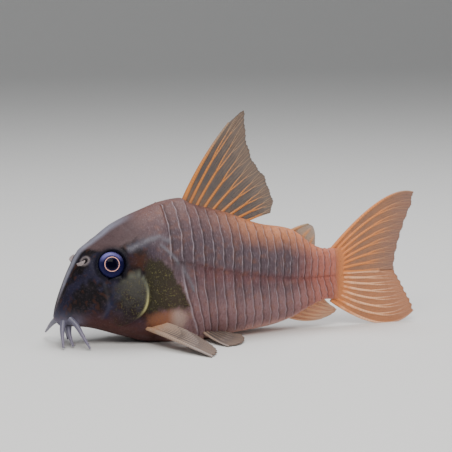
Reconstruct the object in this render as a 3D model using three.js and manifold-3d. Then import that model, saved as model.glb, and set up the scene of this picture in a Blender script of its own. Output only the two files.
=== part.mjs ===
// Corydoras catfish, life size, resting on the bottom on its belly and spread fins.
// Millimetres, +Z up, nose towards -X, left flank towards -Y, floor at z = 0.
// The nose is at x = -33 and the tail fin's tips at x = 33, so the fish is 66 mm long.
import * as THREE from "three";
import { mergeVertices } from "three/addons/utils/BufferGeometryUtils.js";
import Module from "manifold-3d";

const wasm = await Module();
wasm.setup();

// Driving dimensions
const BODY_END = 19.5; // where the scutes stop and the tail fin starts
const GAP = 0.3; // between neighbouring pieces
const SCUTE_COUNT = 22; // in each of the two rows of a flank
const SCUTE_LIFT = 0.28; // how far a scute's rear edge stands up
const SCUTE_STEP = 0.14; // length of the drop behind that edge
const FIRST_SCUTE_EDGE = -14.7;
const FIRST_SCUTE_PITCH = 2.0;
const PITCH_LOSS = 0.042; // each scute is this much shorter than the one before
const TRUNK_SCUTES = 14; // the rest belong to the tail stalk
const NECK_X = -17.9; // cut between head and trunk, at mid height
const NECK_LEAN = 2.4; // the cut leans back at the top by this much
const SHOULDER_REACH = 2.6; // how far the shoulder shield runs back below the seam
const MEMBRANE = 0.5; // fin web
const EYE_RADIUS = 2.3;
const EYE_BULGE = 1.7; // half thickness of the eyeball across the head
const EYE_AT = new THREE.Vector3(-24.3, -4.4, 13.8);
const EYE_TURN = { out: -0.2, up: 0.24 }; // the eye looks a little forward and up
const RIM_RADIUS = 0.36; // of the raised lid round the eye
const NOSTRIL_RADIUS = 0.5;
const LIP_RADIUS = 0.62;
const MOUTH_LINE_RADIUS = 0.16;
const FEELER_ROOT = 0.6; // radii of a feeler's two ends
const FEELER_TIP = 0.25;

// Outline of the body as heights and half widths along its length
const BACK_LINE = [
  [-33, 5.2], [-32, 8.4], [-30, 13.2], [-28.6, 15.6], [-26.5, 17.2], [-22.5, 20.1], [-18, 22.1],
  [-14, 23.5], [-11, 23.9], [-9, 22.9], [-3, 21.2], [4, 18.7], [7.5, 18.1], [9.3, 17.6], [14, 14.4],
  [16, 13.8], [19.5, 14.2],
];
const BELLY_LINE = [
  [-33, 4.8], [-31.6, 3.3], [-28, 2.9], [-22, 1.2], [-17, -0.2], [-13, -0.45], [-8, -0.4],
  [-2, 0.3], [5, 1.0], [9, 2.0], [13, 3.9], [16, 4.9], [19.5, 4.4],
];
const HALF_WIDTH = [
  [-33, 0.5], [-32.5, 1.7], [-31.4, 2.8], [-28.5, 4.3], [-25, 5.5], [-21, 6.8], [-15.5, 7.6],
  [-11, 7.5], [-5, 6.8], [1, 5.7], [8, 3.9], [14, 2.4], [17.4, 1.6], [19.5, 0.6],
];
const MIDDLE_LINE = [
  [-33, 5.0], [-30, 8.4], [-27, 10.8], [-23, 12.8], [-15, 14.2], [-6, 12.2], [5, 10.0], [12, 9.3],
  [19.5, 9.2],
];
const UPPER_SQUARENESS = [[-33, 2.0], [-26, 2.1], [-12, 1.6], [6, 1.9], [19.5, 2.0]];
const LOWER_SQUARENESS = [[-33, 2.0], [-28, 2.4], [-10, 2.9], [8, 2.2], [19.5, 2.0]];

// A smooth line through the given points that never overshoots them.
function smoothLine(points) {
  const slopes = points.slice(1).map(([x, v], i) => (v - points[i][1]) / (x - points[i][0]));
  const tangents = points.map((_, i) => {
    if (i === 0) return slopes[0];
    if (i === points.length - 1) return slopes[i - 1];
    const before = slopes[i - 1];
    const after = slopes[i];
    return before * after <= 0 ? 0 : (2 * before * after) / (before + after);
  });
  return (x) => {
    let i = 0;
    while (i < points.length - 2 && x > points[i + 1][0]) i += 1;
    const span = points[i + 1][0] - points[i][0];
    const t = THREE.MathUtils.clamp((x - points[i][0]) / span, 0, 1);
    const fromStart = (1 + 2 * t) * (1 - t) ** 2 * points[i][1] + t * (1 - t) ** 2 * span * tangents[i];
    return fromStart + t * t * (3 - 2 * t) * points[i + 1][1] - t * t * (1 - t) * span * tangents[i + 1];
  };
}

const backAt = smoothLine(BACK_LINE);
const bellyAt = smoothLine(BELLY_LINE);
const halfWidthAt = smoothLine(HALF_WIDTH);
const middleAt = smoothLine(MIDDLE_LINE);
const upperSquareness = smoothLine(UPPER_SQUARENESS);
const lowerSquareness = smoothLine(LOWER_SQUARENESS);

// A point of the body's surface: angle 0 is the back, a quarter turn the left flank, a half turn the belly.
function bodyPoint(x, angle, lift = 0) {
  const upper = Math.cos(angle) >= 0;
  const power = 2 / (upper ? upperSquareness(x) : lowerSquareness(x));
  const height = (upper ? backAt(x) - middleAt(x) : middleAt(x) - bellyAt(x)) + lift;
  const across = Math.sign(Math.sin(angle)) * Math.abs(Math.sin(angle)) ** power;
  const along = Math.sign(Math.cos(angle)) * Math.abs(Math.cos(angle)) ** power;
  return new THREE.Vector3(x, -(halfWidthAt(x) + lift) * across, middleAt(x) + height * along);
}

// Places round a ring in half turns, closer together at the seam between the two scute rows.
const HALF_RING = [
  0, 0.05, 0.12, 0.2, 0.28, 0.36, 0.43, 0.475, 0.5, 0.525, 0.57, 0.64, 0.71, 0.78, 0.84, 0.91, 1,
];
const RING = [...HALF_RING, ...HALF_RING.slice(1, -1).reverse().map((turn) => 2 - turn)];

// How far down the flank a ring angle is, from 0 at the back to 1 at the belly.
const downTheFlank = (turn) => (turn > 1 ? 2 - turn : turn);

// Scute edges bow forwards at the seam and run back below it, most of all behind the shoulder.
const edgeBow = smoothLine([[0, 0], [0.3, 0], [0.5, -0.35], [0.62, 0.25], [0.78, 0.85], [1, 1]]);
function scuteShift(x, turn) {
  const down = downTheFlank(turn);
  const nearShoulder = 1 - THREE.MathUtils.smoothstep(x, -14, -6);
  return edgeBow(down) + SHOULDER_REACH * nearShoulder * THREE.MathUtils.smoothstep(down, 0.42, 0.85);
}
const neckShift = (turn) => NECK_LEAN * Math.cos(turn * Math.PI);

// Share of the full lift at each angle: the two rows, the seam between them, and the bare belly.
const plateShare = smoothLine([
  [0, 0], [0.05, 0], [0.12, 1], [0.475, 1], [0.5, -0.5], [0.525, 1], [0.84, 1], [0.91, 0], [1, 0],
]);

const scuteEdge = (k) => FIRST_SCUTE_EDGE + FIRST_SCUTE_PITCH * k - (PITCH_LOSS * k * (k - 1)) / 2;

// A closed skin over rings that hold the same number of points, with a fan over each end.
function loft(rings) {
  const count = rings[0].length;
  const ends = [rings[0], rings.at(-1)].map((ring) =>
    ring.reduce((sum, p) => sum.add(p), new THREE.Vector3()).divideScalar(count),
  );
  const points = [...rings.flat(), ...ends];
  const faces = [];
  for (let i = 0; i < rings.length - 1; i += 1) {
    for (let j = 0; j < count; j += 1) {
      const a = i * count + j;
      const b = i * count + ((j + 1) % count);
      faces.push(a, b, a + count, b, b + count, a + count);
    }
  }
  for (let j = 0; j < count; j += 1) {
    const next = (j + 1) % count;
    const last = (rings.length - 1) * count;
    faces.push(next, j, points.length - 2, last + j, last + next, points.length - 1);
  }
  return facingOut(points, faces);
}

// A geometry from points and faces, turned so that its faces point outwards.
function facingOut(points, faces) {
  let volume = 0;
  for (let i = 0; i < faces.length; i += 3) {
    const [a, b, c] = [points[faces[i]], points[faces[i + 1]], points[faces[i + 2]]];
    volume += a.dot(new THREE.Vector3().crossVectors(b, c));
  }
  const geometry = new THREE.BufferGeometry().setFromPoints(points);
  geometry.setIndex(volume < 0 ? [...faces].reverse() : faces);
  return geometry;
}

// Solids are joined and cut as manifolds, and turned back into geometries at the end.
function solid(geometry) {
  const bare = geometry.clone();
  bare.deleteAttribute("normal");
  bare.deleteAttribute("uv");
  const merged = mergeVertices(bare, 1e-4);
  return new wasm.Manifold(
    new wasm.Mesh({
      numProp: 3,
      vertProperties: new Float32Array(merged.attributes.position.array),
      triVerts: new Uint32Array(merged.index.array),
    }),
  );
}

function largestPiece(manifold) {
  return manifold.decompose().reduce((best, piece) => (piece.volume() > best.volume() ? piece : best));
}

function geometryOf(manifold) {
  const mesh = largestPiece(manifold).getMesh();
  const geometry = new THREE.BufferGeometry();
  const positions = new Float32Array(mesh.numVert * 3);
  for (let i = 0; i < mesh.numVert; i += 1) {
    positions.set(mesh.vertProperties.subarray(i * mesh.numProp, i * mesh.numProp + 3), i * 3);
  }
  geometry.setAttribute("position", new THREE.BufferAttribute(positions, 3));
  geometry.setIndex(new THREE.BufferAttribute(new Uint32Array(mesh.triVerts), 1));
  geometry.computeVertexNormals();
  return geometry;
}

// The same geometry on the fish's right side.
function mirrored(geometry) {
  const other = geometry.clone().scale(1, -1, 1);
  const index = other.index.array;
  for (let i = 0; i < index.length; i += 3) [index[i + 1], index[i + 2]] = [index[i + 2], index[i + 1]];
  return other;
}

// Everything below the floor, to cut small flats where fins and feelers rest on it.
const belowFloor = solid(new THREE.BoxGeometry(90, 60, 10).translate(0, 0, -5));

// Plain bodies, grown by a lift, that fins are cut by.
function plainBody(from, to, lift, steps = 30) {
  const rings = [];
  for (let i = 0; i <= steps; i += 1) {
    const x = THREE.MathUtils.lerp(from, to, i / steps);
    const overhang = i === steps ? lift : 0;
    rings.push(RING.map((turn) => bodyPoint(x, turn * Math.PI, lift).add(new THREE.Vector3(overhang, 0, 0))));
  }
  return solid(loft(rings));
}

// Head

const HEAD_STATIONS = [
  -33, -32.8, -32.4, -31.8, -31, -30, -29, -28, -27, -25.8, -24.4, -23, -21.6, -20.2, -19.1,
];

// The head's rings lean more and more towards the neck cut, or a little beyond it.
function headRings(lift, beyond = 0) {
  return [...HEAD_STATIONS, NECK_X - GAP / 2 + beyond].map((station) => {
    const lean = THREE.MathUtils.smoothstep(station, -27, NECK_X);
    return RING.map((turn) => bodyPoint(station + lean * neckShift(turn), turn * Math.PI, lift));
  });
}

// A tapered round rod along a curve, from one radius to the other.
function taperedRod(curve, startRadius, endRadius, steps, sides) {
  const frames = curve.computeFrenetFrames(steps);
  const rings = [];
  for (let i = 0; i <= steps; i += 1) {
    const centre = curve.getPointAt(i / steps);
    const radius = THREE.MathUtils.lerp(startRadius, endRadius, i / steps);
    const ring = [];
    for (let j = 0; j < sides; j += 1) {
      const turn = (2 * Math.PI * j) / sides;
      ring.push(
        centre.clone()
          .addScaledVector(frames.normals[i], radius * Math.cos(turn))
          .addScaledVector(frames.binormals[i], radius * Math.sin(turn)),
      );
    }
    rings.push(ring);
  }
  return loft(rings);
}

const bend = (...points) => new THREE.CatmullRomCurve3(points.map((p) => new THREE.Vector3(...p)));

// A horseshoe along the mouth's edge, from one corner round the snout to the other.
function mouthArc(front, corner, frontHeight, cornerHeight) {
  const [cornerX, cornerY] = corner;
  return bend(
    [cornerX, -cornerY, cornerHeight],
    [(front + cornerX) / 2 - 0.5, -cornerY * 0.72, (frontHeight + cornerHeight) / 2],
    [front, 0, frontHeight],
    [(front + cornerX) / 2 - 0.5, cornerY * 0.72, (frontHeight + cornerHeight) / 2],
    [cornerX, cornerY, cornerHeight],
  );
}

function eyeball(grow) {
  const ball = new THREE.SphereGeometry(1, 16, 10);
  ball.rotateX(Math.PI / 2);
  ball.scale(EYE_RADIUS + grow, EYE_BULGE + grow, EYE_RADIUS + grow);
  ball.rotateX(-EYE_TURN.up).rotateZ(EYE_TURN.out);
  return ball.translate(EYE_AT.x, EYE_AT.y, EYE_AT.z);
}

// The lid's ring lies this far out from the middle of the eyeball.
const RIM_OUT = 0.75;
function eyeRim() {
  const ring = new THREE.TorusGeometry(EYE_RADIUS + GAP + RIM_RADIUS / 3, RIM_RADIUS, 5, 18);
  ring.rotateX(Math.PI / 2);
  ring.rotateX(-EYE_TURN.up).rotateZ(EYE_TURN.out);
  return ring.translate(EYE_AT.x, EYE_AT.y - RIM_OUT, EYE_AT.z);
}

// Nostrils: a pit between a front flap and a rear flap on each side of the snout.
const NOSTRIL = [-28.3, -2.75, 14.35];
const nostrilPit = () => new THREE.SphereGeometry(NOSTRIL_RADIUS, 8, 6).translate(...NOSTRIL);
function nostrilFlap(offset, height) {
  const [x, y, z] = NOSTRIL;
  const root = [x + offset * 0.8, y + 0.7, z - 0.5];
  const tip = [x + offset * 2, y - 0.6, z + height];
  return taperedRod(bend(root, [x + offset * 1.2, y - 0.1, z + 0.1], tip), NOSTRIL_RADIUS, FEELER_TIP, 4, 6);
}

// The gill cover's outline on the left flank, seen from the side.
const COVER_OUTLINE = [
  [-24.2, 10.4], [-22.1, 12.1], [-20.6, 13.0], [-19.2, 11.8], [-18.8, 9.2], [-19.3, 6.4],
  [-20.9, 4.2], [-23.2, 3.6], [-24.7, 6.2],
];
const COVER_CENTRE = new THREE.Vector2(-21.6, 8.8);
const COVER_LIFT = 0.32;
const COVER_THICKNESS = 1.1;
const COVER_BLOCK = 9; // the block reaches this far out from the middle plane
const CORE_BEYOND = 2; // the core inside the covers runs this far past the neck cut

// A block with the cover's outline grown all round, from beyond the left flank to reach on the right.
function coverBlock(grow, reach) {
  const points = COVER_OUTLINE.map(([x, z]) => {
    const spoke = new THREE.Vector2(x, z).sub(COVER_CENTRE);
    return spoke.setLength(spoke.length() + grow).add(COVER_CENTRE);
  });
  const shape = new THREE.Shape(new THREE.SplineCurve([...points, points[0]]).getPoints(26).slice(0, -1));
  const block = new THREE.ExtrudeGeometry(shape, { depth: COVER_BLOCK + reach, bevelEnabled: false });
  return solid(block.rotateX(Math.PI / 2).translate(0, reach, 0));
}

const core = (gap) => solid(loft(headRings(COVER_LIFT - COVER_THICKNESS - gap, CORE_BEYOND)));

function gillCover() {
  return solid(loft(headRings(COVER_LIFT))).intersect(coverBlock(0, 0)).subtract(core(0));
}

// The two lips, grown by a gap where the feelers' roots are cut.
function lips(grow) {
  const upper = mouthArc(-32.35, [-30.4, 2.5], 4.75, 4.3);
  const lower = mouthArc(-31.5, [-30.1, 2.0], 3.2, 3.3);
  const upperRadius = LIP_RADIUS + grow;
  const lowerRadius = LIP_RADIUS * 0.8 + grow;
  return [
    taperedRod(upper, upperRadius, upperRadius, 12, 7),
    taperedRod(lower, lowerRadius, lowerRadius, 10, 7),
  ];
}

function head() {
  const mouthCourse = mouthArc(-32.7, [-30.0, 2.9], 3.85, 3.85);
  const mouthLine = taperedRod(mouthCourse, MOUTH_LINE_RADIUS, MOUTH_LINE_RADIUS, 12, 5);
  const left = [eyeRim(), nostrilFlap(-0.62, 0.5), nostrilFlap(0.6, 0.6)];
  const added = [...lips(0), ...left, ...left.map(mirrored)].map(solid);
  const holes = [eyeball(GAP), nostrilPit()];
  const cut = [mouthLine, ...holes, ...holes.map(mirrored)].map(solid);
  const recess = coverBlock(GAP, COVER_BLOCK).subtract(core(GAP));
  const skull = wasm.Manifold.union([solid(loft(headRings(0))), ...added]);
  return wasm.Manifold.difference([skull, ...cut, recess]);
}

// Trunk and tail stalk, with their scutes raised in the surface

function scuteRing(x, liftAt) {
  return RING.map((turn) => {
    const down = downTheFlank(turn);
    const at = x + scuteShift(x, turn);
    const point = bodyPoint(Math.min(at, BODY_END), turn * Math.PI, liftAt(down));
    point.z = Math.max(0, point.z);
    return point;
  });
}

// The rings of scutes from one to another: each rises from its front to its rear edge and then drops.
function scuteRings(from, to) {
  const rings = [];
  for (let k = from; k < to; k += 1) {
    rings.push(scuteRing(scuteEdge(k) + SCUTE_STEP, (down) => Math.min(0, plateShare(down)) * SCUTE_LIFT));
    rings.push(scuteRing(scuteEdge(k + 1), (down) => plateShare(down) * SCUTE_LIFT));
  }
  return rings;
}

// The shoulder shield is one smooth plate from the neck cut to the second scute edge, in the lower row only.
function shoulderRings() {
  const rings = [];
  const steps = [0, 0.3, 0.6, 1];
  steps.forEach((step) => {
    const x = THREE.MathUtils.lerp(NECK_X + GAP / 2, FIRST_SCUTE_EDGE, step);
    rings.push(
      RING.map((turn) => {
        const down = downTheFlank(turn);
        const shift = THREE.MathUtils.lerp(neckShift(turn), scuteShift(x, turn), step);
        const point = bodyPoint(x + shift, turn * Math.PI, plateShare(down) * SCUTE_LIFT * step);
        point.z = Math.max(0, point.z);
        return point;
      }),
    );
  });
  const upperOnly = (down) => (down < 0.49 ? 0 : plateShare(down) * SCUTE_LIFT);
  rings.push(scuteRing(FIRST_SCUTE_EDGE + SCUTE_STEP, upperOnly));
  rings.push(scuteRing(scuteEdge(1), (down) => plateShare(down) * SCUTE_LIFT));
  return rings;
}

const trunk = () => loft([...shoulderRings(), ...scuteRings(1, TRUNK_SCUTES)]);

function tailStalk() {
  const start = scuteEdge(TRUNK_SCUTES) + GAP;
  const first = scuteRing(start, (down) => Math.min(0, plateShare(down)) * SCUTE_LIFT);
  const plates = scuteRings(TRUNK_SCUTES, SCUTE_COUNT - 1).slice(1);
  const end = RING.map((turn) => bodyPoint(BODY_END, turn * Math.PI));
  return loft([first, ...plates, end]);
}

// Fins: a web with raised rays that fork towards the margin

// Offsets of the columns round one ray, in ray spacings: its crest, its two branches and the web behind it.
const BRANCH = 0.2;
const rayColumns = [-BRANCH, 0, BRANCH, 0.5];

// Half the thickness of a fin at a place: rays stand above the web, and from the fork on their branches do.
function finHalfThickness(offset, along, style) {
  const web = THREE.MathUtils.lerp(style.web, style.web * 0.8, along);
  const ridge = THREE.MathUtils.lerp(style.ridge, style.ridge * 0.35, along);
  const forked = along > style.fork;
  const onCrest = Math.abs(offset) < 0.01;
  const onBranch = Math.abs(Math.abs(offset) - BRANCH) < 0.01;
  return (web + (onCrest && !forked ? ridge : 0) + (onBranch && forked ? ridge : 0)) / 2;
}

// A fin from the curves of its rays, root to tip. faceAt gives the direction of its left face.
function rayedFin(rays, style) {
  const columns = [];
  rays.forEach((_, i) => {
    rayColumns.forEach((offset) => {
      const at = i + offset;
      if (at >= 0 && at <= rays.length - 1) columns.push({ at, offset });
    });
  });
  const middle = (at, along) => {
    const i = Math.min(Math.floor(at), rays.length - 2);
    const share = at - i;
    const notch = 1 - style.notch * Math.sin(Math.PI * share) ** 2 * along;
    return rays[i].getPoint(along * notch).lerp(rays[i + 1].getPoint(along * notch), share);
  };
  const faceAt = (at, along) => {
    const side = 0.02;
    const last = rays.length - 1;
    const across = middle(Math.min(at + side, last), along).sub(middle(Math.max(at - side, 0), along));
    const out = middle(at, Math.min(along + side, 1)).sub(middle(at, Math.max(along - side, 0)));
    return across.cross(out).normalize();
  };
  const rows = style.rows;
  const sides = [1, -1].map((side) =>
    columns.map(({ at, offset }) => {
      const line = [];
      for (let row = 0; row < rows; row += 1) {
        const along = row / (rows - 1);
        const half = finHalfThickness(offset, along, style) * (at === 0 && style.spine ? 1.5 : 1);
        line.push(middle(at, along).addScaledVector(faceAt(at, along), side * half));
      }
      return line;
    }),
  );
  const points = sides.flat(2);
  const other = columns.length * rows;
  const faces = [];
  for (let c = 0; c < columns.length - 1; c += 1) {
    for (let r = 0; r < rows - 1; r += 1) {
      const a = c * rows + r;
      const b = a + rows;
      faces.push(a, b, a + 1, b, b + 1, a + 1);
      faces.push(other + a, other + a + 1, other + b, other + b, other + a + 1, other + b + 1);
    }
    const root = c * rows;
    const tip = root + rows - 1;
    faces.push(root, other + root, root + rows, root + rows, other + root, other + root + rows);
    faces.push(tip, tip + rows, other + tip, tip + rows, other + tip + rows, other + tip);
  }
  [0, columns.length - 1].forEach((c) => {
    for (let r = 0; r < rows - 1; r += 1) {
      const a = c * rows + r;
      const rim = [a, a + 1, other + a, a + 1, other + a + 1, other + a];
      faces.push(...(c === 0 ? rim : rim.reverse()));
    }
  });
  return facingOut(points, faces);
}

// Ray curves between two guides: roots along one line, tips along another, bowed to one side.
function rayFan(count, rootLine, tipLine, bow) {
  const rays = [];
  for (let i = 0; i < count; i += 1) {
    const share = i / (count - 1);
    const root = rootLine.getPoint(share);
    const tip = tipLine.getPoint(share);
    const control = root.clone().lerp(tip, 0.5).add(bow(share));
    rays.push(new THREE.QuadraticBezierCurve3(root, control, tip));
  }
  return rays;
}

const flat = (x, z) => [x, 0, z];
const MEDIAL = { web: MEMBRANE, ridge: 0.5, fork: 0.5, notch: 0.03, rows: 6, spine: true };

function dorsalFin() {
  const roots = bend(flat(-10.2, 22.6), flat(-7.6, 21.4), flat(-3.8, 20.6), flat(-0.3, 19.0));
  const tips = bend(
    flat(-2.0, 36.4), flat(0.7, 38.4), flat(1.0, 35.0), flat(1.7, 31.6), flat(2.9, 29), flat(4.5, 27),
    flat(5.4, 24.6), flat(6.1, 22.6), flat(5.6, 20.6),
  );
  const bow = (share) => new THREE.Vector3(-1.0, 0, 0.5).lerp(new THREE.Vector3(0.2, 0, 0.3), share);
  return solid(rayedFin(rayFan(9, roots, tips, bow), MEDIAL)).subtract(plainBody(-16, 6, GAP, 24));
}

function adiposeFin() {
  const roots = bend(flat(8.9, 17.1), flat(11.8, 14.9), flat(13.7, 13.2));
  const tips = bend(flat(12.9, 18.3), flat(13.7, 17.2), flat(13.9, 14.8));
  const bow = (share) => new THREE.Vector3(0, 0, THREE.MathUtils.lerp(0.4, 0, share));
  const style = { ...MEDIAL, ridge: 0.5, fork: 2, rows: 5 };
  return solid(rayedFin(rayFan(3, roots, tips, bow), style)).subtract(plainBody(6, BODY_END, GAP, 16));
}

function analFin() {
  const roots = bend(flat(7.4, 2.9), flat(10.8, 4.2), flat(14.6, 6.0));
  const tips = bend(flat(15.4, 1.5), flat(17.0, 2.0), flat(18.1, 2.9), flat(16.6, 4.0));
  const bow = (share) => new THREE.Vector3(0, 0, THREE.MathUtils.lerp(-1.5, -0.25, share));
  const fin = solid(rayedFin(rayFan(7, roots, tips, bow), MEDIAL));
  return wasm.Manifold.difference([fin, plainBody(2, BODY_END, GAP + SCUTE_LIFT, 20), belowFloor]);
}

// The tail fin in two lobes that part at the fork.
const TAIL_ROOT_X = 18.6;
const FORK_Z = 9.4;

function tailLobe(rootZ, tips, bow) {
  const roots = bend(
    flat(TAIL_ROOT_X, rootZ), flat(TAIL_ROOT_X, (rootZ + FORK_Z) / 2), flat(TAIL_ROOT_X, FORK_Z),
  );
  const edgeRoot = Math.sign(rootZ - FORK_Z);
  roots.points[0].x -= 1.2;
  roots.points[2].z += edgeRoot * GAP / 2;
  return wasm.Manifold.difference([
    solid(rayedFin(rayFan(8, roots, tips, bow), MEDIAL)),
    plainBody(12, BODY_END, GAP + SCUTE_LIFT / 2, 12),
    belowFloor,
  ]);
}

function upperLobe() {
  const tips = bend(
    flat(32.7, 23.0), flat(32.3, 20.8), flat(31.4, 18.8), flat(30.7, 16.9), flat(30.1, 15.1),
    flat(29.6, 13.2), flat(29.2, 11.3), flat(29.1, FORK_Z + GAP / 2),
  );
  const bow = (share) => new THREE.Vector3(THREE.MathUtils.lerp(2.4, 0, share), 0, 6.4 * (1 - share) ** 1.6);
  return tailLobe(13.8, tips, bow);
}

function lowerLobe() {
  const tips = bend(
    flat(32.98, 1.9), flat(32.7, 3.0), flat(32.2, 4.0), flat(31.6, 5.0), flat(31.0, 6.1), flat(30.4, 7.2),
    flat(29.8, 8.2), flat(29.1, FORK_Z - GAP / 2),
  );
  const bow = (share) => new THREE.Vector3(THREE.MathUtils.lerp(2.8, 0, share), 0, -6.4 * (1 - share) ** 1.6);
  return tailLobe(4.5, tips, bow);
}

const PAIRED = { web: MEMBRANE, ridge: 0.45, fork: 0.5, notch: 0.03, rows: 5, spine: true };

function pectoralFin() {
  const roots = bend([-18.6, -4.8, 3.0], [-17.4, -5.2, 3.5], [-16.2, -5.6, 3.9]);
  const tips = bend(
    [-11.6, -18.6, 0.25], [-10.1, -16.6, 0.35], [-9.4, -14.0, 0.5], [-9.8, -11.5, 1.0], [-11.0, -9.3, 1.9],
  );
  const bow = (share) => new THREE.Vector3(-0.7 * (1 - share), -0.5, 0.5);
  const fin = solid(rayedFin(rayFan(9, roots, tips, bow), PAIRED));
  return wasm.Manifold.difference([fin, plainBody(-24, -6, GAP + SCUTE_LIFT, 20), belowFloor]);
}

function pelvicFin() {
  const roots = bend([-8.9, -3.0, 2.2], [-8.2, -2.8, 2.3], [-7.5, -2.6, 2.4]);
  const tips = bend([-6.2, -11.4, 0.22], [-3.9, -10.6, 0.3], [-2.2, -8.4, 0.5], [-1.9, -6.2, 0.9]);
  const bow = (share) => new THREE.Vector3(-0.5, -1.4 * (1 - share), -0.5);
  const fin = solid(rayedFin(rayFan(6, roots, tips, bow), PAIRED));
  return wasm.Manifold.difference([fin, plainBody(-16, 4, GAP + SCUTE_LIFT, 20), belowFloor]);
}

// Feelers round the mouth, each rooted in a lip; the right upper one points forwards and out.
const FEELERS = {
  upper_left: [[-31.9, -1.8, 4.3], [-32.4, -2.9, 2.7], [-32.6, -4.3, 0.4]],
  upper_right: [[-31.9, 1.8, 4.2], [-32.4, 4.0, 2.9], [-32.6, 7.2, 1.0]],
  lower_left: [[-30.9, -2.4, 4.8], [-30.1, -3.6, 3.8], [-29.4, -4.9, 2.2], [-28.6, -6.3, 0.35]],
  lower_right: [[-30.9, 2.4, 4.8], [-30.1, 3.6, 3.8], [-29.4, 4.9, 2.2], [-28.6, 6.3, 0.35]],
  chin_left: [[-30.9, -1.2, 3.2], [-31.0, -2.2, 2.1], [-30.7, -3.5, 0.35]],
  chin_right: [[-30.6, 1.2, 3.2], [-30.3, 2.2, 2.1], [-29.8, 3.2, 0.35]],
};

function feeler(points, headGrown) {
  const rod = solid(taperedRod(bend(...points), FEELER_ROOT, FEELER_TIP, 8, 7));
  return wasm.Manifold.difference([rod, headGrown, belowFloor]);
}

// The head grown by the gap, for the feelers' roots.
const grownMouth = () => wasm.Manifold.union([solid(loft(headRings(GAP))), ...lips(GAP).map(solid)]);

// Finishes and the assembled fish

const finish = (color, roughness) => new THREE.MeshStandardMaterial({ color, roughness, metalness: 0 });
const skin = finish(0x6d5a58, 0.45);
const shield = finish(0x4c4a3a, 0.35);
const web = finish(0xb0703c, 0.5);
const iris = finish(0x2b2a5e, 0.15);
const barbel = finish(0x75707c, 0.5);

const fish = new THREE.Group();

function add(name, geometry, material) {
  const mesh = new THREE.Mesh(geometry, material);
  mesh.name = name;
  fish.add(mesh);
}

function addPair(name, geometry, material) {
  add(`${name}_left`, geometry, material);
  add(`${name}_right`, mirrored(geometry), material);
}

add("head", geometryOf(head()), skin);
add("trunk", trunk(), skin);
add("tail_stalk", tailStalk(), skin);
addPair("gill_cover", geometryOf(gillCover()), shield);
addPair("eye", geometryOf(solid(eyeball(0))), iris);
add("dorsal_fin", geometryOf(dorsalFin()), web);
add("adipose_fin", geometryOf(adiposeFin()), web);
add("anal_fin", geometryOf(analFin()), web);
add("tail_fin_upper", geometryOf(upperLobe()), web);
add("tail_fin_lower", geometryOf(lowerLobe()), web);
addPair("pectoral_fin", geometryOf(pectoralFin()), web);
addPair("pelvic_fin", geometryOf(pelvicFin()), web);
const mouth = grownMouth();
for (const [place, points] of Object.entries(FEELERS)) {
  add(`barbel_${place}`, geometryOf(feeler(points, mouth)), barbel);
}

export default fish;
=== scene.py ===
"""A corydoras catfish at rest on the bottom: its looks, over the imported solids.

Sizes are in millimetres until a mesh is made. Nose towards -X, left flank towards -Y, floor at z = 0.
"""
import logging
import math
from dataclasses import dataclass, field
from enum import Enum

import bpy
import numpy as np
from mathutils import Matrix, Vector


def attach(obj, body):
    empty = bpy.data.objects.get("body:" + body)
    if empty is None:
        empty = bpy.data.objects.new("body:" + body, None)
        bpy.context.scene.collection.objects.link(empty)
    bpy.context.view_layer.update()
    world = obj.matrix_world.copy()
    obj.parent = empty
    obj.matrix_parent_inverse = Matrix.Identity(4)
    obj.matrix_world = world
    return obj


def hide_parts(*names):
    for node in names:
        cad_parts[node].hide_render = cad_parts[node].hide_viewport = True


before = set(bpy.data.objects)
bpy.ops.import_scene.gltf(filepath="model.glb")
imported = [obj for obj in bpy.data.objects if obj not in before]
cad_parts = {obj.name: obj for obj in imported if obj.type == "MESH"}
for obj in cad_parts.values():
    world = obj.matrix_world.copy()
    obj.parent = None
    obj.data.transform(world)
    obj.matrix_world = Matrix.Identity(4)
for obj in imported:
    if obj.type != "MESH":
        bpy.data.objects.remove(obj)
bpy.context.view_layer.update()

MM = 0.001
BODY = "root"
# The middle of the left eye, and the way it looks
EYE_AT = (-24.3, -4.4, 13.8)
EYE_OUT = (-0.193, -0.952, 0.238)
log = logging.getLogger("corydoras")

Array = np.ndarray
Socket = bpy.types.NodeSocket
Material = bpy.types.Material
Piece = bpy.types.Object
Triple = tuple[float, float, float]
Colour = Triple
Points = tuple[tuple[float, ...], ...]
Rod = tuple[Array, Array, Array]


# Numbers and lines


def ease(value: Array, low: float, high: float) -> Array:
    """Rises smoothly from 0 at low to 1 at high."""
    t = np.clip((np.asarray(value, float) - low) / (high - low), 0.0, 1.0)
    return t * t * (3.0 - 2.0 * t)


def bell(value: Array, centre: float, width: float) -> Array:
    """A smooth hump of height 1 at centre."""
    return np.exp(-(((np.asarray(value, float) - centre) / width) ** 2))


@dataclass(frozen=True)
class Line:
    """A smooth line through points that never overshoots them."""

    points: Points

    def __call__(self, x: Array) -> Array:
        """The line's value, held level beyond its ends.

        Args:
            x: places along the line.

        Returns:
            A value for each place.
        """
        at, value = np.array(self.points, float).T
        slopes = np.diff(value) / np.diff(at)
        total = slopes[:-1] + slopes[1:]
        same_way = slopes[:-1] * slopes[1:] > 0
        inner = np.where(same_way, 2 * slopes[:-1] * slopes[1:] / np.where(same_way, total, 1.0), 0.0)
        tangents = np.concatenate([slopes[:1], inner, slopes[-1:]])
        x = np.asarray(x, float)
        i = np.clip(np.searchsorted(at, x, side="right") - 1, 0, len(at) - 2)
        span = at[i + 1] - at[i]
        t = np.clip((x - at[i]) / span, 0.0, 1.0)
        start = (1 + 2 * t) * (1 - t) ** 2 * value[i] + t * (1 - t) ** 2 * span * tangents[i]
        return start + t * t * (3 - 2 * t) * value[i + 1] - t * t * (1 - t) * span * tangents[i + 1]


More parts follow.
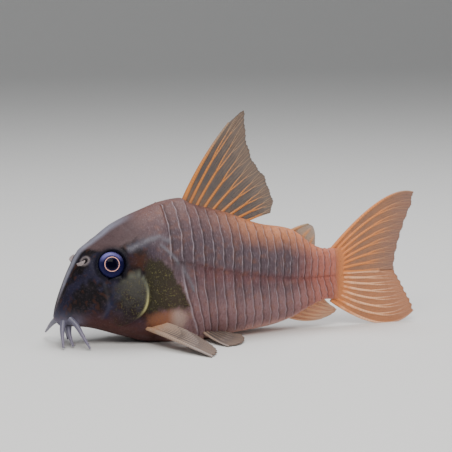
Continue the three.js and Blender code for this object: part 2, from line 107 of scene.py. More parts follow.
@dataclass(frozen=True)
class Guide:
    """A curve through three or more points, read at a share of its length or of its points' number."""

    points: Points
    by_length: bool = True

    def __call__(self, share: Array) -> Array:
        """Points on the curve, one for each share.

        Args:
            share: 0 at the first point to 1 at the last.

        Returns:
            Coordinates along a last axis of three.
        """
        given = np.array(self.points, float)
        ends = np.vstack([2 * given[0] - given[1], given, 2 * given[-1] - given[-2]])
        fine = np.linspace(0, len(given) - 1, 16 * (len(given) - 1) + 1)
        i = np.minimum(fine.astype(int), len(given) - 2)
        t = (fine - i)[:, None]
        a, b, c, d = ends[i], ends[i + 1], ends[i + 2], ends[i + 3]
        square, cube = 2 * a - 5 * b + 4 * c - d, 3 * b - a - 3 * c + d
        curve = 0.5 * (2 * b + (c - a) * t + square * t**2 + cube * t**3)
        length = np.concatenate([[0], np.cumsum(np.linalg.norm(np.diff(curve, axis=0), axis=1))])
        progress = length / length[-1] if self.by_length else fine / fine[-1]
        return np.stack([np.interp(share, progress, curve[:, k]) for k in range(3)], axis=-1)


def distance_to(points: Array, path: Array) -> tuple[Array, Array]:
    """How far points are from a path of straight stretches.

    Args:
        points: an array whose last axis holds the coordinates.
        path: the path's corners, one a row, in the same number of coordinates.

    Returns:
        The distance of each point, and how far along the path its nearest place is, from 0 to 1.
    """
    best = np.full(points.shape[:-1], np.inf)
    where = np.zeros(points.shape[:-1])
    stretches = len(path) - 1
    for i in range(stretches):
        a, b = path[i], path[i + 1]
        t = np.clip(((points - a) @ (b - a)) / ((b - a) @ (b - a)), 0, 1)
        d = np.linalg.norm(points - a - t[..., None] * (b - a), axis=-1)
        closer = d < best
        best = np.where(closer, d, best)
        where = np.where(closer, (i + t) / stretches, where)
    return best, where


def inside_depth(points: Array, outline: Array) -> Array:
    """How deep points in a plane lie inside a closed outline, below 0 outside it.

    Args:
        points: places in the plane.
        outline: the corners, one a row.

    Returns:
        A depth for each point.
    """
    closed = np.vstack([outline, outline[:1]])
    depth, _ = distance_to(points, closed)
    crossings = np.zeros(points.shape[:-1], int)
    x, y = points[..., 0], points[..., 1]
    for (ax, ay), (bx, by) in zip(closed[:-1], closed[1:]):
        spans = (ay > y) != (by > y)
        crossings += spans & (x < ax + (y - ay) * (bx - ax) / (by - ay if by != ay else 1.0))
    return np.where(crossings % 2 == 1, depth, -depth)


# Shaders


@dataclass(frozen=True)
class Value:
    """A number that varies over a surface, which adds Math nodes as it is worked with."""

    shader: "Shader"
    socket: Socket

    def _math(self, operation: str, *values: "Value | float", clamp: bool = False) -> "Value":
        """Adds a Math node over these values."""
        settings = {"operation": operation, "use_clamp": clamp}
        return Value(self.shader, self.shader.node("Math", settings, dict(enumerate(values))).outputs[0])

    def __add__(self, other: "Value | float") -> "Value":
        """self + other."""
        return self._math("ADD", self, other)

    def __sub__(self, other: "Value | float") -> "Value":
        """self - other."""
        return self._math("SUBTRACT", self, other)

    def __rsub__(self, other: float) -> "Value":
        """other - self."""
        return self._math("SUBTRACT", other, self)

    def __mul__(self, other: "Value | float") -> "Value":
        """self * other."""
        return self._math("MULTIPLY", self, other)

    __radd__ = __add__
    __rmul__ = __mul__

    def sine(self) -> "Value":
        """The sine of self, in radians."""
        return self._math("SINE", self)

    def clamped(self) -> "Value":
        """self held between 0 and 1."""
        return self._math("ADD", self, 0.0, clamp=True)

    def ramp(self, low: float, high: float) -> "Value":
        """0 below low and 1 above high, smooth between; a low above high turns it round.

        Args:
            low: where the ramp is 0.
            high: where it is 1.

        Returns:
            The ramp.
        """
        settings = {"interpolation_type": "SMOOTHSTEP"}
        turned = float(low > high)
        inputs = {0: self, 1: min(low, high), 2: max(low, high), 3: turned, 4: 1.0 - turned}
        return Value(self.shader, self.shader.node("MapRange", settings, inputs).outputs[0])


class Shader:
    """One material and the nodes in it."""

    def __init__(self, name: str) -> None:
        """Starts an empty material.

        Args:
            name: the material's name.
        """
        self.material = bpy.data.materials.new(name)
        self.material.use_nodes = True
        self.tree = self.material.node_tree
        self.tree.nodes.clear()
        self.output = self.tree.nodes.new("ShaderNodeOutputMaterial")

    def node(self, kind: str, settings: dict | None = None, inputs: dict | None = None) -> bpy.types.Node:
        """Adds a node.

        Args:
            kind: the node's type without "ShaderNode".
            settings: its properties, set first.
            inputs: values, Values or sockets for its sockets, by name or number.

        Returns:
            The node.
        """
        made = self.tree.nodes.new("ShaderNode" + kind)
        for key, setting in (settings or {}).items():
            setattr(made, key, setting)
        for key, value in (inputs or {}).items():
            value = value.socket if isinstance(value, Value) else value
            if isinstance(value, Socket):
                self.tree.links.new(value, made.inputs[key])
            elif isinstance(value, tuple) and len(value) == 3 and made.inputs[key].type == "RGBA":
                made.inputs[key].default_value = (*value, 1.0)
            else:
                made.inputs[key].default_value = value
        return made

    def attribute(self, name: str) -> Value:
        """A number kept on the mesh's points."""
        return Value(self, self.node("Attribute", {"attribute_name": name}).outputs["Fac"])

    def place(self, stretch: Triple = (1, 1, 1)) -> Socket:
        """Object coordinates, stretched along the axes."""
        coordinates = self.node("TexCoord").outputs["Object"]
        return self.node("Mapping", {}, {"Vector": coordinates, "Scale": stretch}).outputs[0]

    def noise(self, size: float, detail: float = 3.0, stretch: Triple = (1, 1, 1)) -> Value:
        """Soft noise around 0.5 whose blobs are about size millimetres across."""
        inputs = {"Vector": self.place(stretch), "Scale": 1.0 / (size * MM), "Detail": detail}
        return Value(self, self.node("TexNoise", {"noise_dimensions": "3D"}, inputs).outputs[0])

    def cells(self, size: float) -> Value:
        """Distance to the nearest of scattered points about size millimetres apart."""
        inputs = {"Vector": self.place(), "Scale": 1.0 / (size * MM)}
        return Value(self, self.node("TexVoronoi", {"feature": "F1"}, inputs).outputs["Distance"])

    def mix(
        self, share: Value, first: "Colour | Socket", second: "Colour | Socket", blend: str = "MIX"
    ) -> Socket:
        """A colour between two, or one laid over the other with a blend.

        Args:
            share: 0 for the first to 1 for the second.
            first: the colour underneath.
            second: the colour on top.
            blend: Blender's name for the way of mixing.

        Returns:
            The mixed colour.
        """
        settings = {"data_type": "RGBA", "blend_type": blend, "clamp_factor": True}
        made = self.node("Mix", settings, {0: share, 6: first, 7: second})
        return made.outputs[2]

    def paint(self, colour: "Colour | Socket", *coats: tuple) -> Socket:
        """Lays coats over a colour, each given as its share and its own colour.

        Args:
            colour: what lies underneath.
            coats: pairs of share and colour, the lowest first.

        Returns:
            The painted colour.
        """
        for share, over in coats:
            colour = self.mix(share, colour, over)
        return colour

    def bump(self, height: Value, depth: float, over: Socket | None = None) -> Socket:
        """A normal that follows height, depth millimetres deep, on top of another bump.

        Args:
            height: what the bump follows.
            depth: its depth in millimetres.
            over: the normal of the bump underneath.

        Returns:
            The normal.
        """
        inputs = {"Height": height, "Distance": depth * MM, "Strength": 1.0}
        if over is not None:
            inputs["Normal"] = over
        return self.node("Bump", {}, inputs).outputs[0]

    def finish(self, **inputs: object) -> Material:
        """Ends the material in a Principled shader with these sockets.

        Args:
            inputs: the shader's inputs, in small letters with underscores.

        Returns:
            The material.
        """
        named = {key.replace("_", " ").title().replace("Ior", "IOR"): value for key, value in inputs.items()}
        surface = self.node("BsdfPrincipled", {}, named)
        self.tree.links.new(surface.outputs[0], self.output.inputs[0])
        return self.material


# Finishes


@dataclass(frozen=True)
class SkinFinish:
    """Wet mauve-brown skin with pale plate edges, a dark face and green-grey gill covers, and painted shade
    and sheen.
    """

    back: Colour = (0.15, 0.08, 0.074)
    warm_back: Colour = (0.52, 0.195, 0.085)
    flank: Colour = (0.08, 0.054, 0.064)
    seam: Colour = (0.13, 0.042, 0.042)
    low_flank: Colour = (0.21, 0.118, 0.122)
    belly: Colour = (0.6, 0.33, 0.275)
    stalk: Colour = (0.45, 0.14, 0.095)
    fin_root: Colour = (0.52, 0.19, 0.07)
    plate_edge: Colour = (0.34, 0.29, 0.325)
    crown: Colour = (0.078, 0.049, 0.051)
    face: Colour = (0.004, 0.0028, 0.0045)
    violet: Colour = (0.016, 0.015, 0.036)
    rust: Colour = (0.05, 0.018, 0.01)
    # painted sheen: a bluish-grey highlight along the top outline of the head, where light grazes it
    profile: Colour = (0.23, 0.23, 0.29)
    eye_shade: Colour = (0.003, 0.003, 0.008)
    streak: Colour = (0.007, 0.012, 0.045)
    cover: Colour = (0.08, 0.078, 0.066)
    cover_low: Colour = (0.016, 0.01, 0.01)
    cover_edge: Colour = (0.15, 0.165, 0.12)
    cover_edge_low: Colour = (0.52, 0.48, 0.2)
    shoulder: Colour = (0.026, 0.022, 0.011)
    gold: Colour = (0.11, 0.1, 0.04)
    suture: Colour = (0.135, 0.125, 0.145)
    chest: Colour = (0.27, 0.112, 0.058)
    cream: Colour = (0.42, 0.3, 0.25)
    throat: Colour = (0.08, 0.03, 0.026)
    lip: Colour = (0.15, 0.145, 0.205)
    flap: Colour = (0.42, 0.35, 0.35)
    # painted shade: the nostril hollow darkened nearly to black
    pit: Colour = (0.002, 0.002, 0.002)
    # painted shadow just behind each scute's edge, and a darker tone on every third plate
    plate_shade: Colour = (0.06, 0.05, 0.06)
    dark_hair: Colour = (0.03, 0.02, 0.025)
    dark_grain: Colour = (0.02, 0.016, 0.02)
    pale_grain: Colour = (0.35, 0.3, 0.36)

    def _body(self, shader: Shader, blotch: Value, mottle: Value) -> Socket:
        """The colours of back, flanks, belly and stalk, with the plates drawn in and painted shadow behind
        their edges.

        Args:
            shader: the shader of the skin.
            blotch: wide noise.
            mottle: finer noise.

        Returns:
            The colour.
        """
        mask = shader.attribute
        down = mask("down") + (blotch - 0.5) * 0.12
        colour = shader.paint(
            self.back,
            (down.ramp(0.1, 0.36), self.flank),
            (mask("warm") * down.ramp(0.36, 0.08), self.warm_back),
            (down.ramp(0.46, 0.66), self.low_flank),
            (mask("seam") * 0.6, self.seam),
            (down.ramp(0.76, 0.92), self.belly),
            (mask("stalk") * 0.8, self.stalk),
        )
        hairs = shader.noise(0.42, 3.0, (2.6, 1.0, 0.4))
        edge = mask("plate_edge") * (mottle * 1.5 + hairs - 0.62)
        # the plates' mask multiplies in painted shadow behind each scute's edge, and a darker tone on some
        # plates
        return shader.paint(
            shader.mix(mask("plate_shadow_and_tone"), colour, self.plate_shade, "MULTIPLY"),
            (hairs.ramp(0.52, 0.72) * 0.2, self.plate_edge),
            (hairs.ramp(0.46, 0.3) * 0.35, self.dark_hair),
            (edge.clamped() * 0.95, self.plate_edge),
            ((mask("fin_root") + (mottle - 0.5) * 0.5).clamped(), self.fin_root),
        )

    def _head(self, shader: Shader, blotch: Value, mottle: Value, grain: Value) -> Socket:
        """The colours of crown, face, throat and lips, with a painted sheen along the top outline.

        Args:
            shader: the shader of the skin.
            blotch: wide noise.
            mottle: finer noise.
            grain: the finest noise.

        Returns:
            The colour.
        """
        mask = shader.attribute
        face = (mask("face") + (mottle - 0.5) * 0.7).ramp(0.25, 0.75)
        return shader.paint(
            self.crown,
            (face, self.face),
            (face * blotch.ramp(0.46, 0.62) * 0.8, self.violet),
            (face * mottle.ramp(0.52, 0.66) * 0.6, self.rust),
            (mask("temple") * (mottle + 0.3), self.rust),
            (mask("throat") * (mottle * 0.8 + 0.4), self.throat),
            (mask("streak") * (grain * 1.2), self.streak),
            # painted sheen: bluish highlight along the head's top outline
            (mask("profile") * (mottle * 0.6 + 0.5), self.profile),
            (mask("lip") * (grain * 0.6 + 0.6), self.lip),
        )

    def material(self) -> Material:
        """The skin's material.

        Returns:
            The material.
        """
        shader = Shader("corydoras_skin")
        mask = shader.attribute
        blotch, mottle, grain = shader.noise(3.2, 4.0), shader.noise(1.2, 4.0), shader.noise(0.3, 3.0)
        chest = (mask("chest") + (blotch - 0.5) * 0.9 + (mottle - 0.5) * 0.5).ramp(0.15, 1.1)
        cover_low = (mask("down") + (mottle - 0.5) * 0.25).ramp(0.5, 0.68)
        cover = shader.mix(cover_low, self.cover, self.cover_low)
        rim = shader.mix(mask("rim_low"), self.cover_edge, self.cover_edge_low)
        specks = shader.noise(0.26, 2.0).ramp(0.55, 0.64) * (mask("shoulder") + mask("cover") * 0.7).clamped()
        colour = shader.paint(
            self._body(shader, blotch, mottle),
            ((mask("head") + (mottle - 0.5) * 0.5).clamped(), self._head(shader, blotch, mottle, grain)),
            ((mask("shoulder") + (mottle - 0.5) * 0.9).ramp(0.25, 0.75) * 0.9, self.shoulder),
            (chest * (grain + 0.35), shader.mix(mask("cream"), self.chest, self.cream)),
            (mask("cover") * (mottle * 1.3 + 0.1).clamped(), cover),
            (specks * mottle.ramp(0.36, 0.6) * 0.8, self.gold),
            (mask("suture") * (grain * 1.3 + mottle * 1.4 - 0.55).clamped(), self.suture),
            (mask("cover_edge") * (grain + 0.35), rim),
            (mask("eye_shade"), self.eye_shade),
            # painted shade darkens the nostril hollows
            (mask("pit"), self.pit),
            (mask("flap"), self.flap),
            (grain.ramp(0.54, 0.76) * 0.3, self.dark_grain),
            (grain.ramp(0.46, 0.28) * 0.04, self.pale_grain),
        )
        normal = shader.bump(mottle, 0.05, shader.bump(grain, 0.03, shader.bump(shader.cells(0.26), 0.02)))
        return shader.finish(
            base_color=colour,
            roughness=grain * 0.2 + 0.42,
            coat_weight=0.03,
            coat_roughness=0.2,
            specular_ior_level=0.12,
            normal=normal,
        )


@dataclass(frozen=True)
class EyeFinish:
    """A dark blue iris with a violet upper edge, a thin pale pink ring and a black pupil."""

    pupil: Colour = (0.0008, 0.0008, 0.006)
    ring: Colour = (1.0, 0.52, 0.4)
    iris: Colour = (0.006, 0.006, 0.038)
    side_iris: Colour = (0.028, 0.028, 0.1)
    upper_iris: Colour = (0.175, 0.16, 0.41)
    rim: Colour = (0.004, 0.004, 0.02)

    def material(self) -> Material:
        """The eyeball's material.

        Returns:
            The material.
        """
        shader = Shader("corydoras_eye")
        radius = shader.attribute("radius") + (shader.noise(0.5) - 0.5) * 0.06
        fleck = shader.noise(0.16, 3.0)
        upper = shader.attribute("upper")
        iris = shader.paint(
            self.iris,
            (radius.ramp(1.35, 1.95) * (fleck * 0.8 + upper * 0.6), self.side_iris),
            ((upper * (fleck + 0.35)).clamped(), self.upper_iris),
            (radius.ramp(2.0, 2.2), self.rim),
        )
        pupil = shader.mix(radius.ramp(0.75, 1.1), self.pupil, self.iris)
        colour = shader.paint(self.ring, (radius.ramp(1.19, 1.27), iris), (radius.ramp(1.17, 1.11), pupil))
        return shader.finish(base_color=colour, roughness=0.1, specular_ior_level=0.05)


@dataclass(frozen=True)
class WebFinish:
    """Smoky, half clear fin web that is warmer beside the rays and finely streaked towards the margin."""

    name: str
    web: Colour
    warm: Colour
    tip: Colour
    clear: float
    speck: Colour = (0.05, 0.04, 0.035)

    def material(self) -> Material:
        """The web's material.

        Returns:
            The material.
        """
        shader = Shader(self.name)
        out, ray = shader.attribute("out"), shader.attribute("ray")
        mottle, grain = shader.noise(1.1, 4.0), shader.noise(0.2, 2.0)
        far = out + (mottle - 0.5) * 0.4
        streak = (shader.attribute("across") * (2 * math.pi * 5) + mottle * 4.0).sine() * 0.5 + 0.5
        warmth = (ray * 0.9 + far.ramp(0.35, 0.0) * 0.8 + (mottle - 0.5) * 0.6).clamped()
        colour = shader.paint(
            self.web,
            (warmth, self.warm),
            (far.ramp(0.5, 1.0) * (streak * 0.6 + 0.4), self.tip),
            (streak * far.ramp(0.2, 0.6) * 0.25, self.warm),
            (grain.ramp(0.52, 0.75) * 0.4, self.speck),
        )
        alpha = 1.0 - (1.0 - ray) * (mottle * 0.5 + 0.75) * self.clear
        return shader.finish(
            base_color=colour,
            roughness=mottle * 0.2 + 0.38,
            alpha=alpha.clamped(),
            specular_ior_level=0.3,
            normal=shader.bump(streak, 0.03, shader.bump(grain, 0.015)),
        )


@dataclass(frozen=True)
class RayFinish:
    """Jointed golden fin rays that grow greyer towards their tips."""

    name: str
    root: Colour
    middle: Colour
    tip: Colour
    joint: Colour = (0.07, 0.045, 0.03)
    joints: float = 34.0

    def material(self) -> Material:
        """The rays' material.

        Returns:
            The material.
        """
        shader = Shader(self.name)
        out = shader.attribute("out")
        mottle = shader.noise(0.7, 4.0)
        far = out + (mottle - 0.5) * 0.5
        joint = (out * (self.joints * 2 * math.pi)).sine().ramp(0.75, 1.0) * out.ramp(0.12, 0.3)
        colour = shader.paint(
            self.root,
            (far.ramp(0.0, 0.3), self.middle),
            (far.ramp(0.42, 0.9), self.tip),
            (joint * 0.4, self.joint),
        )
        normal = shader.bump(joint * -1.0, 0.03, shader.bump(mottle, 0.02))
        return shader.finish(
            base_color=colour,
            roughness=mottle * 0.2 + 0.36,
            coat_weight=0.12,
            coat_roughness=0.2,
            specular_ior_level=0.35,
            normal=normal,
        )


@dataclass(frozen=True)
class BarbelFinish:
    """Soft bluish-grey feeler skin, paler to the tip."""

    root: Colour = (0.1, 0.095, 0.14)
    tip: Colour = (0.15, 0.13, 0.19)

    def material(self) -> Material:
        """The feelers' material.

        Returns:
            The material.
        """
        shader = Shader("corydoras_barbel")
        out = shader.attribute("out")
        mottle = shader.noise(0.4, 3.0)
        colour = shader.mix((out + (mottle - 0.5) * 0.4).ramp(0.0, 0.8), self.root, self.tip)
        rings = (out * 160.0).sine() * 0.5 + 0.5
        return shader.finish(
            base_color=colour,
            roughness=mottle * 0.2 + 0.35,
            coat_weight=0.3,
            coat_roughness=0.2,
            normal=shader.bump(rings, 0.012, shader.bump(mottle, 0.02)),
        )


@dataclass(frozen=True)
class FloorFinish:
    """A plain pale matt sweep."""

    colour: Colour = (0.72, 0.71, 0.69)

    def material(self) -> Material:
        """The floor's material."""
        shader = Shader("studio_floor")
        return shader.finish(base_color=self.colour, roughness=0.75)


# Meshes


def linked(name: str, data: bpy.types.ID) -> Piece:
    """A new object of the scene that holds data.

    Args:
        name: the object's name.
        data: a mesh, light or camera.

    Returns:
        The object.
    """
    made = bpy.data.objects.new(name, data)
    bpy.context.scene.collection.objects.link(made)
    return made


def add_mark(mesh: bpy.types.Mesh, name: str, values: Array) -> None:
    """Keeps a number on each of a mesh's points."""
    layer = mesh.attributes.new(name, "FLOAT", "POINT")
    layer.data.foreach_set("value", np.ascontiguousarray(values, dtype=np.float32).ravel())


def mesh_object(
    name: str, points: Array, faces: Array | list, material: Material, **marks: Array
) -> Piece:
    """Makes a smooth-shaded object that sits at the origin.

    Args:
        name: the object's name.
        points: millimetre coordinates, one point a row.
        faces: point numbers, one face a row.
        material: its only material.
        marks: numbers to keep on the points, by attribute name.

    Returns:
        The object, linked to the scene.
    """
    mesh = bpy.data.meshes.new(name)
    mesh.from_pydata((np.asarray(points) * MM).tolist(), [], [list(map(int, face)) for face in faces])
    mesh.materials.append(material)
    for key, values in marks.items():
        add_mark(mesh, key, values)
    mesh.validate()
    mesh.shade_smooth()
    return linked(name, mesh)


def grid_faces(rows: int, columns: int, closed: bool = False) -> Array:
    """Four-sided faces over a grid of points kept row after row.

    Args:
        rows: rows of points.
        columns: points in a row.
        closed: whether each row joins up with its own start.

    Returns:
        One face a row.
    """
    r, c = np.meshgrid(np.arange(rows - 1), np.arange(columns if closed else columns - 1), indexing="ij")
    n = (c + 1) % columns
    faces = np.stack([r * columns + c, r * columns + n, (r + 1) * columns + n, (r + 1) * columns + c], -1)
    return faces.reshape(-1, 4)


def capped_faces(rows: int, ring: int) -> list[list[int]]:
    """Faces over closed rings, with a fan at each end to one of the two points that follow the rings.

    Args:
        rows: how many rings.
        ring: points in each.

    Returns:
        Point numbers, one face a row.
    """
    faces = grid_faces(rows, ring, closed=True).tolist()
    last = (rows - 1) * ring
    for j in range(ring):
        n = (j + 1) % ring
        faces.append([n, j, rows * ring])
        faces.append([last + j, last + n, rows * ring + 1])
    return faces


def outward(points: Array, faces: list) -> list:
    """The same faces, all turned over if they enclose the points inside out.

    Args:
        points: coordinates, one point a row.
        faces: point numbers, one face a row.

    Returns:
        The faces, facing out.
    """
    quads = [(face[0], face[k], face[k + 1]) for face in faces for k in range(1, len(face) - 1)]
    corners = points[np.array(quads, int)]
    volume = np.einsum("ij,ij->i", corners[:, 0], np.cross(corners[:, 1], corners[:, 2])).sum()
    return [list(face)[::-1] for face in faces] if volume < 0 else faces


@dataclass(frozen=True)
class SweptRods:
    """Geometry Nodes that turn drawn lines into round rods, each as thick as its points say."""

    sides: int = 7

    def _tree(self) -> bpy.types.NodeTree:
        """The node tree, with named inputs for the rods' sides, finish and radius where their width is 1.

        Returns:
            The tree.
        """
        tree = bpy.data.node_groups.new("swept_rods", "GeometryNodeTree")
        ports = {"Lines": "Geometry", "Sides": "Int", "Radius": "Float", "Finish": "Material"}
        for name, kind in ports.items():
            tree.interface.new_socket(name, in_out="INPUT", socket_type="NodeSocket" + kind)
        tree.interface.new_socket("Rods", in_out="OUTPUT", socket_type="NodeSocketGeometry")
        add = tree.nodes.new
        given, result = add("NodeGroupInput"), add("NodeGroupOutput")
        to_curve, ring = add("GeometryNodeMeshToCurve"), add("GeometryNodeCurvePrimitiveCircle")
        width, rods = add("GeometryNodeInputNamedAttribute"), add("GeometryNodeCurveToMesh")
        real = add("GeometryNodeRealizeInstances")
        smooth, paint = add("GeometryNodeSetShadeSmooth"), add("GeometryNodeSetMaterial")
        width.data_type = "FLOAT"
        width.inputs["Name"].default_value = "width"
        rods.inputs["Fill Caps"].default_value = True
        for source, out, target, into in (
            (given, "Lines", to_curve, "Mesh"),
            (given, "Sides", ring, "Resolution"),
            (given, "Radius", ring, "Radius"),
            (to_curve, "Curve", rods, "Curve"),
            (ring, "Curve", rods, "Profile Curve"),
            (width, "Attribute", rods, "Scale"),
            (rods, "Mesh", smooth, "Geometry"),
            (smooth, "Geometry", real, "Geometry"),
            (real, "Geometry", paint, "Geometry"),
            (given, "Finish", paint, "Material"),
            (paint, "Geometry", result, "Rods"),
        ):
            tree.links.new(source.outputs[out], target.inputs[into])
        return tree

    def build(self, name: str, lines: list[Rod], material: Material) -> Piece:
        """Makes the rods.

        Args:
            name: the piece's name.
            lines: for each rod its points, its radius at each, and how far out along the fin each lies.
            material: the rods' finish.

        Returns:
            A plain mesh object with no modifier.
        """
        edges, start = [], 0
        for line, _, _ in lines:
            edges += [(start + i, start + i + 1) for i in range(len(line) - 1)]
            start += len(line)
        mesh = bpy.data.meshes.new(name)
        mesh.from_pydata((np.vstack([line[0] for line in lines]) * MM).tolist(), edges, [])
        for column, key in enumerate(("width", "out"), start=1):
            add_mark(mesh, key, np.concatenate([line[column] for line in lines]))
        made = linked(name, mesh)
        modifier = made.modifiers.new("rods", "NODES")
        modifier.node_group = self._tree()
        values = {"Sides": self.sides, "Radius": MM, "Finish": material}
        for item in modifier.node_group.interface.items_tree:
            if item.name in values:
                modifier[item.identifier] = values[item.name]
        evaluated = made.evaluated_get(bpy.context.evaluated_depsgraph_get())
        plain = bpy.data.meshes.new_from_object(evaluated)
        made.modifiers.clear()
        made.data = plain
        plain.name = name
        return made


def on_or_above_floor(piece: Piece) -> None:
    """Flattens what would reach below the floor.

    Args:
        piece: the piece, whose mesh is changed.
    """
    for vertex in piece.data.vertices:
        vertex.co.z = max(vertex.co.z, 0.0)
    piece.data.update()


# The body


@dataclass(frozen=True)
class BodyForm:
    """The outline of the body along its length, with its scute rows, in the solids' own numbers."""

    back: Line = Line((
        (-33, 5.2), (-32, 8.4), (-30, 13.2), (-28.6, 15.6), (-26.5, 17.2), (-22.5, 20.1), (-18, 22.1),
        (-14, 23.5), (-11, 23.9), (-9, 22.9), (-3, 21.2), (4, 18.7), (7.5, 18.1), (9.3, 17.6), (14, 14.4),
        (16, 13.8), (19.5, 14.2),
    ))
    belly: Line = Line((
        (-33, 4.8), (-31.6, 3.3), (-28, 2.9), (-22, 1.2), (-17, -0.2), (-13, -0.45), (-8, -0.4), (-2, 0.3),
        (5, 1.0), (9, 2.0), (13, 3.9), (16, 4.9), (19.5, 4.4),
    ))
    half_width: Line = Line((
        (-33, 0.5), (-32.5, 1.7), (-31.4, 2.8), (-28.5, 4.3), (-25, 5.5), (-21, 6.8), (-15.5, 7.6),
        (-11, 7.5), (-5, 6.8), (1, 5.7), (8, 3.9), (14, 2.4), (17.4, 1.6), (19.5, 0.6),
    ))
    middle: Line = Line((
        (-33, 5.0), (-30, 8.4), (-27, 10.8), (-23, 12.8), (-15, 14.2), (-6, 12.2), (5, 10.0), (12, 9.3),
        (19.5, 9.2),
    ))
    upper_squareness: Line = Line(((-33, 2.0), (-26, 2.1), (-12, 1.6), (6, 1.9), (19.5, 2.0)))
    lower_squareness: Line = Line(((-33, 2.0), (-28, 2.4), (-10, 2.9), (8, 2.2), (19.5, 2.0)))
    edge_bow: Line = Line(((0, 0), (0.3, 0), (0.5, -0.35), (0.62, 0.25), (0.78, 0.85), (1, 1)))
    plate_share: Line = Line((
        (0, 0), (0.05, 0), (0.1, 1), (0.482, 1), (0.5, -0.6), (0.518, 1), (0.84, 1), (0.9, 0), (1, 0),
    ))
    nose: float = -33.0
    end: float = 19.5
    neck: float = -17.9
    neck_lean: float = 2.4
    shoulder_reach: float = 2.6
    scutes: int = 22
    first_edge: float = -14.7
    first_pitch: float = 2.0
    pitch_loss: float = 0.042
    scute_lift: float = 0.28
    step: float = 0.14

    def point(self, x: Array, angle: Array, lift: Array | float = 0.0) -> Array:
        """Points of the surface.

        Args:
            x: where along the body.
            angle: 0 on the back, a quarter turn on the left flank, a half turn on the belly.
            lift: how far the section grows there.

        Returns:
            Coordinates along a last axis of three.
        """
        upper = np.cos(angle) >= 0
        power = 2 / np.where(upper, self.upper_squareness(x), self.lower_squareness(x))
        height = np.where(upper, self.back(x) - self.middle(x), self.middle(x) - self.belly(x)) + lift
        across = np.sign(np.sin(angle)) * np.abs(np.sin(angle)) ** power
        along = np.sign(np.cos(angle)) * np.abs(np.cos(angle)) ** power
        return np.stack([x, -(self.half_width(x) + lift) * across, self.middle(x) + height * along], -1)

    def edges(self) -> Array:
        """Where along the body the scutes' rear edges are, from the shoulder back."""
        k = np.arange(self.scutes)
        return self.first_edge + self.first_pitch * k - self.pitch_loss * k * (k - 1) / 2

    def shifted(self, station: Array, turn: Array) -> Array:
        """Where a station's ring lies: it leans at the neck and follows the plates behind it.

        Args:
            station: places from nose to tail, before any lean.
            turn: 0 on the back, 1 on the belly, 2 on the back again.

        Returns:
            The x of each point of the ring.
        """
        down = 1 - np.abs(1 - turn)
        neck = self.neck_lean * np.cos(turn * math.pi)
        reach = 1 - ease(np.maximum(station, self.first_edge), -14, -6)
        plates = self.edge_bow(down) + self.shoulder_reach * reach * ease(down, 0.42, 0.85)
        t = np.clip((station - self.neck) / (self.first_edge - self.neck), 0, 1)
        lean = ease(station, -27, self.neck) * neck
        shift = np.where(station < self.neck, lean, neck * (1 - t) + plates * t)
        return np.minimum(station + shift, self.end)

    def plate(self, station: Array, down: Array) -> tuple[Array, Array]:
        """Which scute a place lies on, and how far back on it.

        Args:
            station: places from nose to tail, before any lean.
            down: 0 on the back to 1 on the belly.

        Returns:
            The scute's number, and 0 at its front to 1 at its rear edge.
        """
        edges = self.edges()
        number = np.searchsorted(edges, station, side="right") - 1
        lower = (down > 0.5) & (number == 0)
        number = np.where(lower, -1, number)
        front = np.where(number < 0, self.neck, edges[np.clip(number, 0, None)])
        rear = edges[np.clip(number + 1, 0, self.scutes - 1)]
        rear = np.where((number < 0) & (down > 0.5), edges[1], rear)
        return number, np.clip((station - front) / np.maximum(rear - front, 0.3), 0, 1)


class Side(Enum):
    """A flank of the fish, with the sign of its y."""

    LEFT = -1
    RIGHT = 1

    @property
    def word(self) -> str:
        """The side's name in node names."""
        return self.name.lower()

    def place(self, points: Array) -> Array:
        """Points given for the left side, on this side."""
        return points * np.array([1, -self.value, 1])


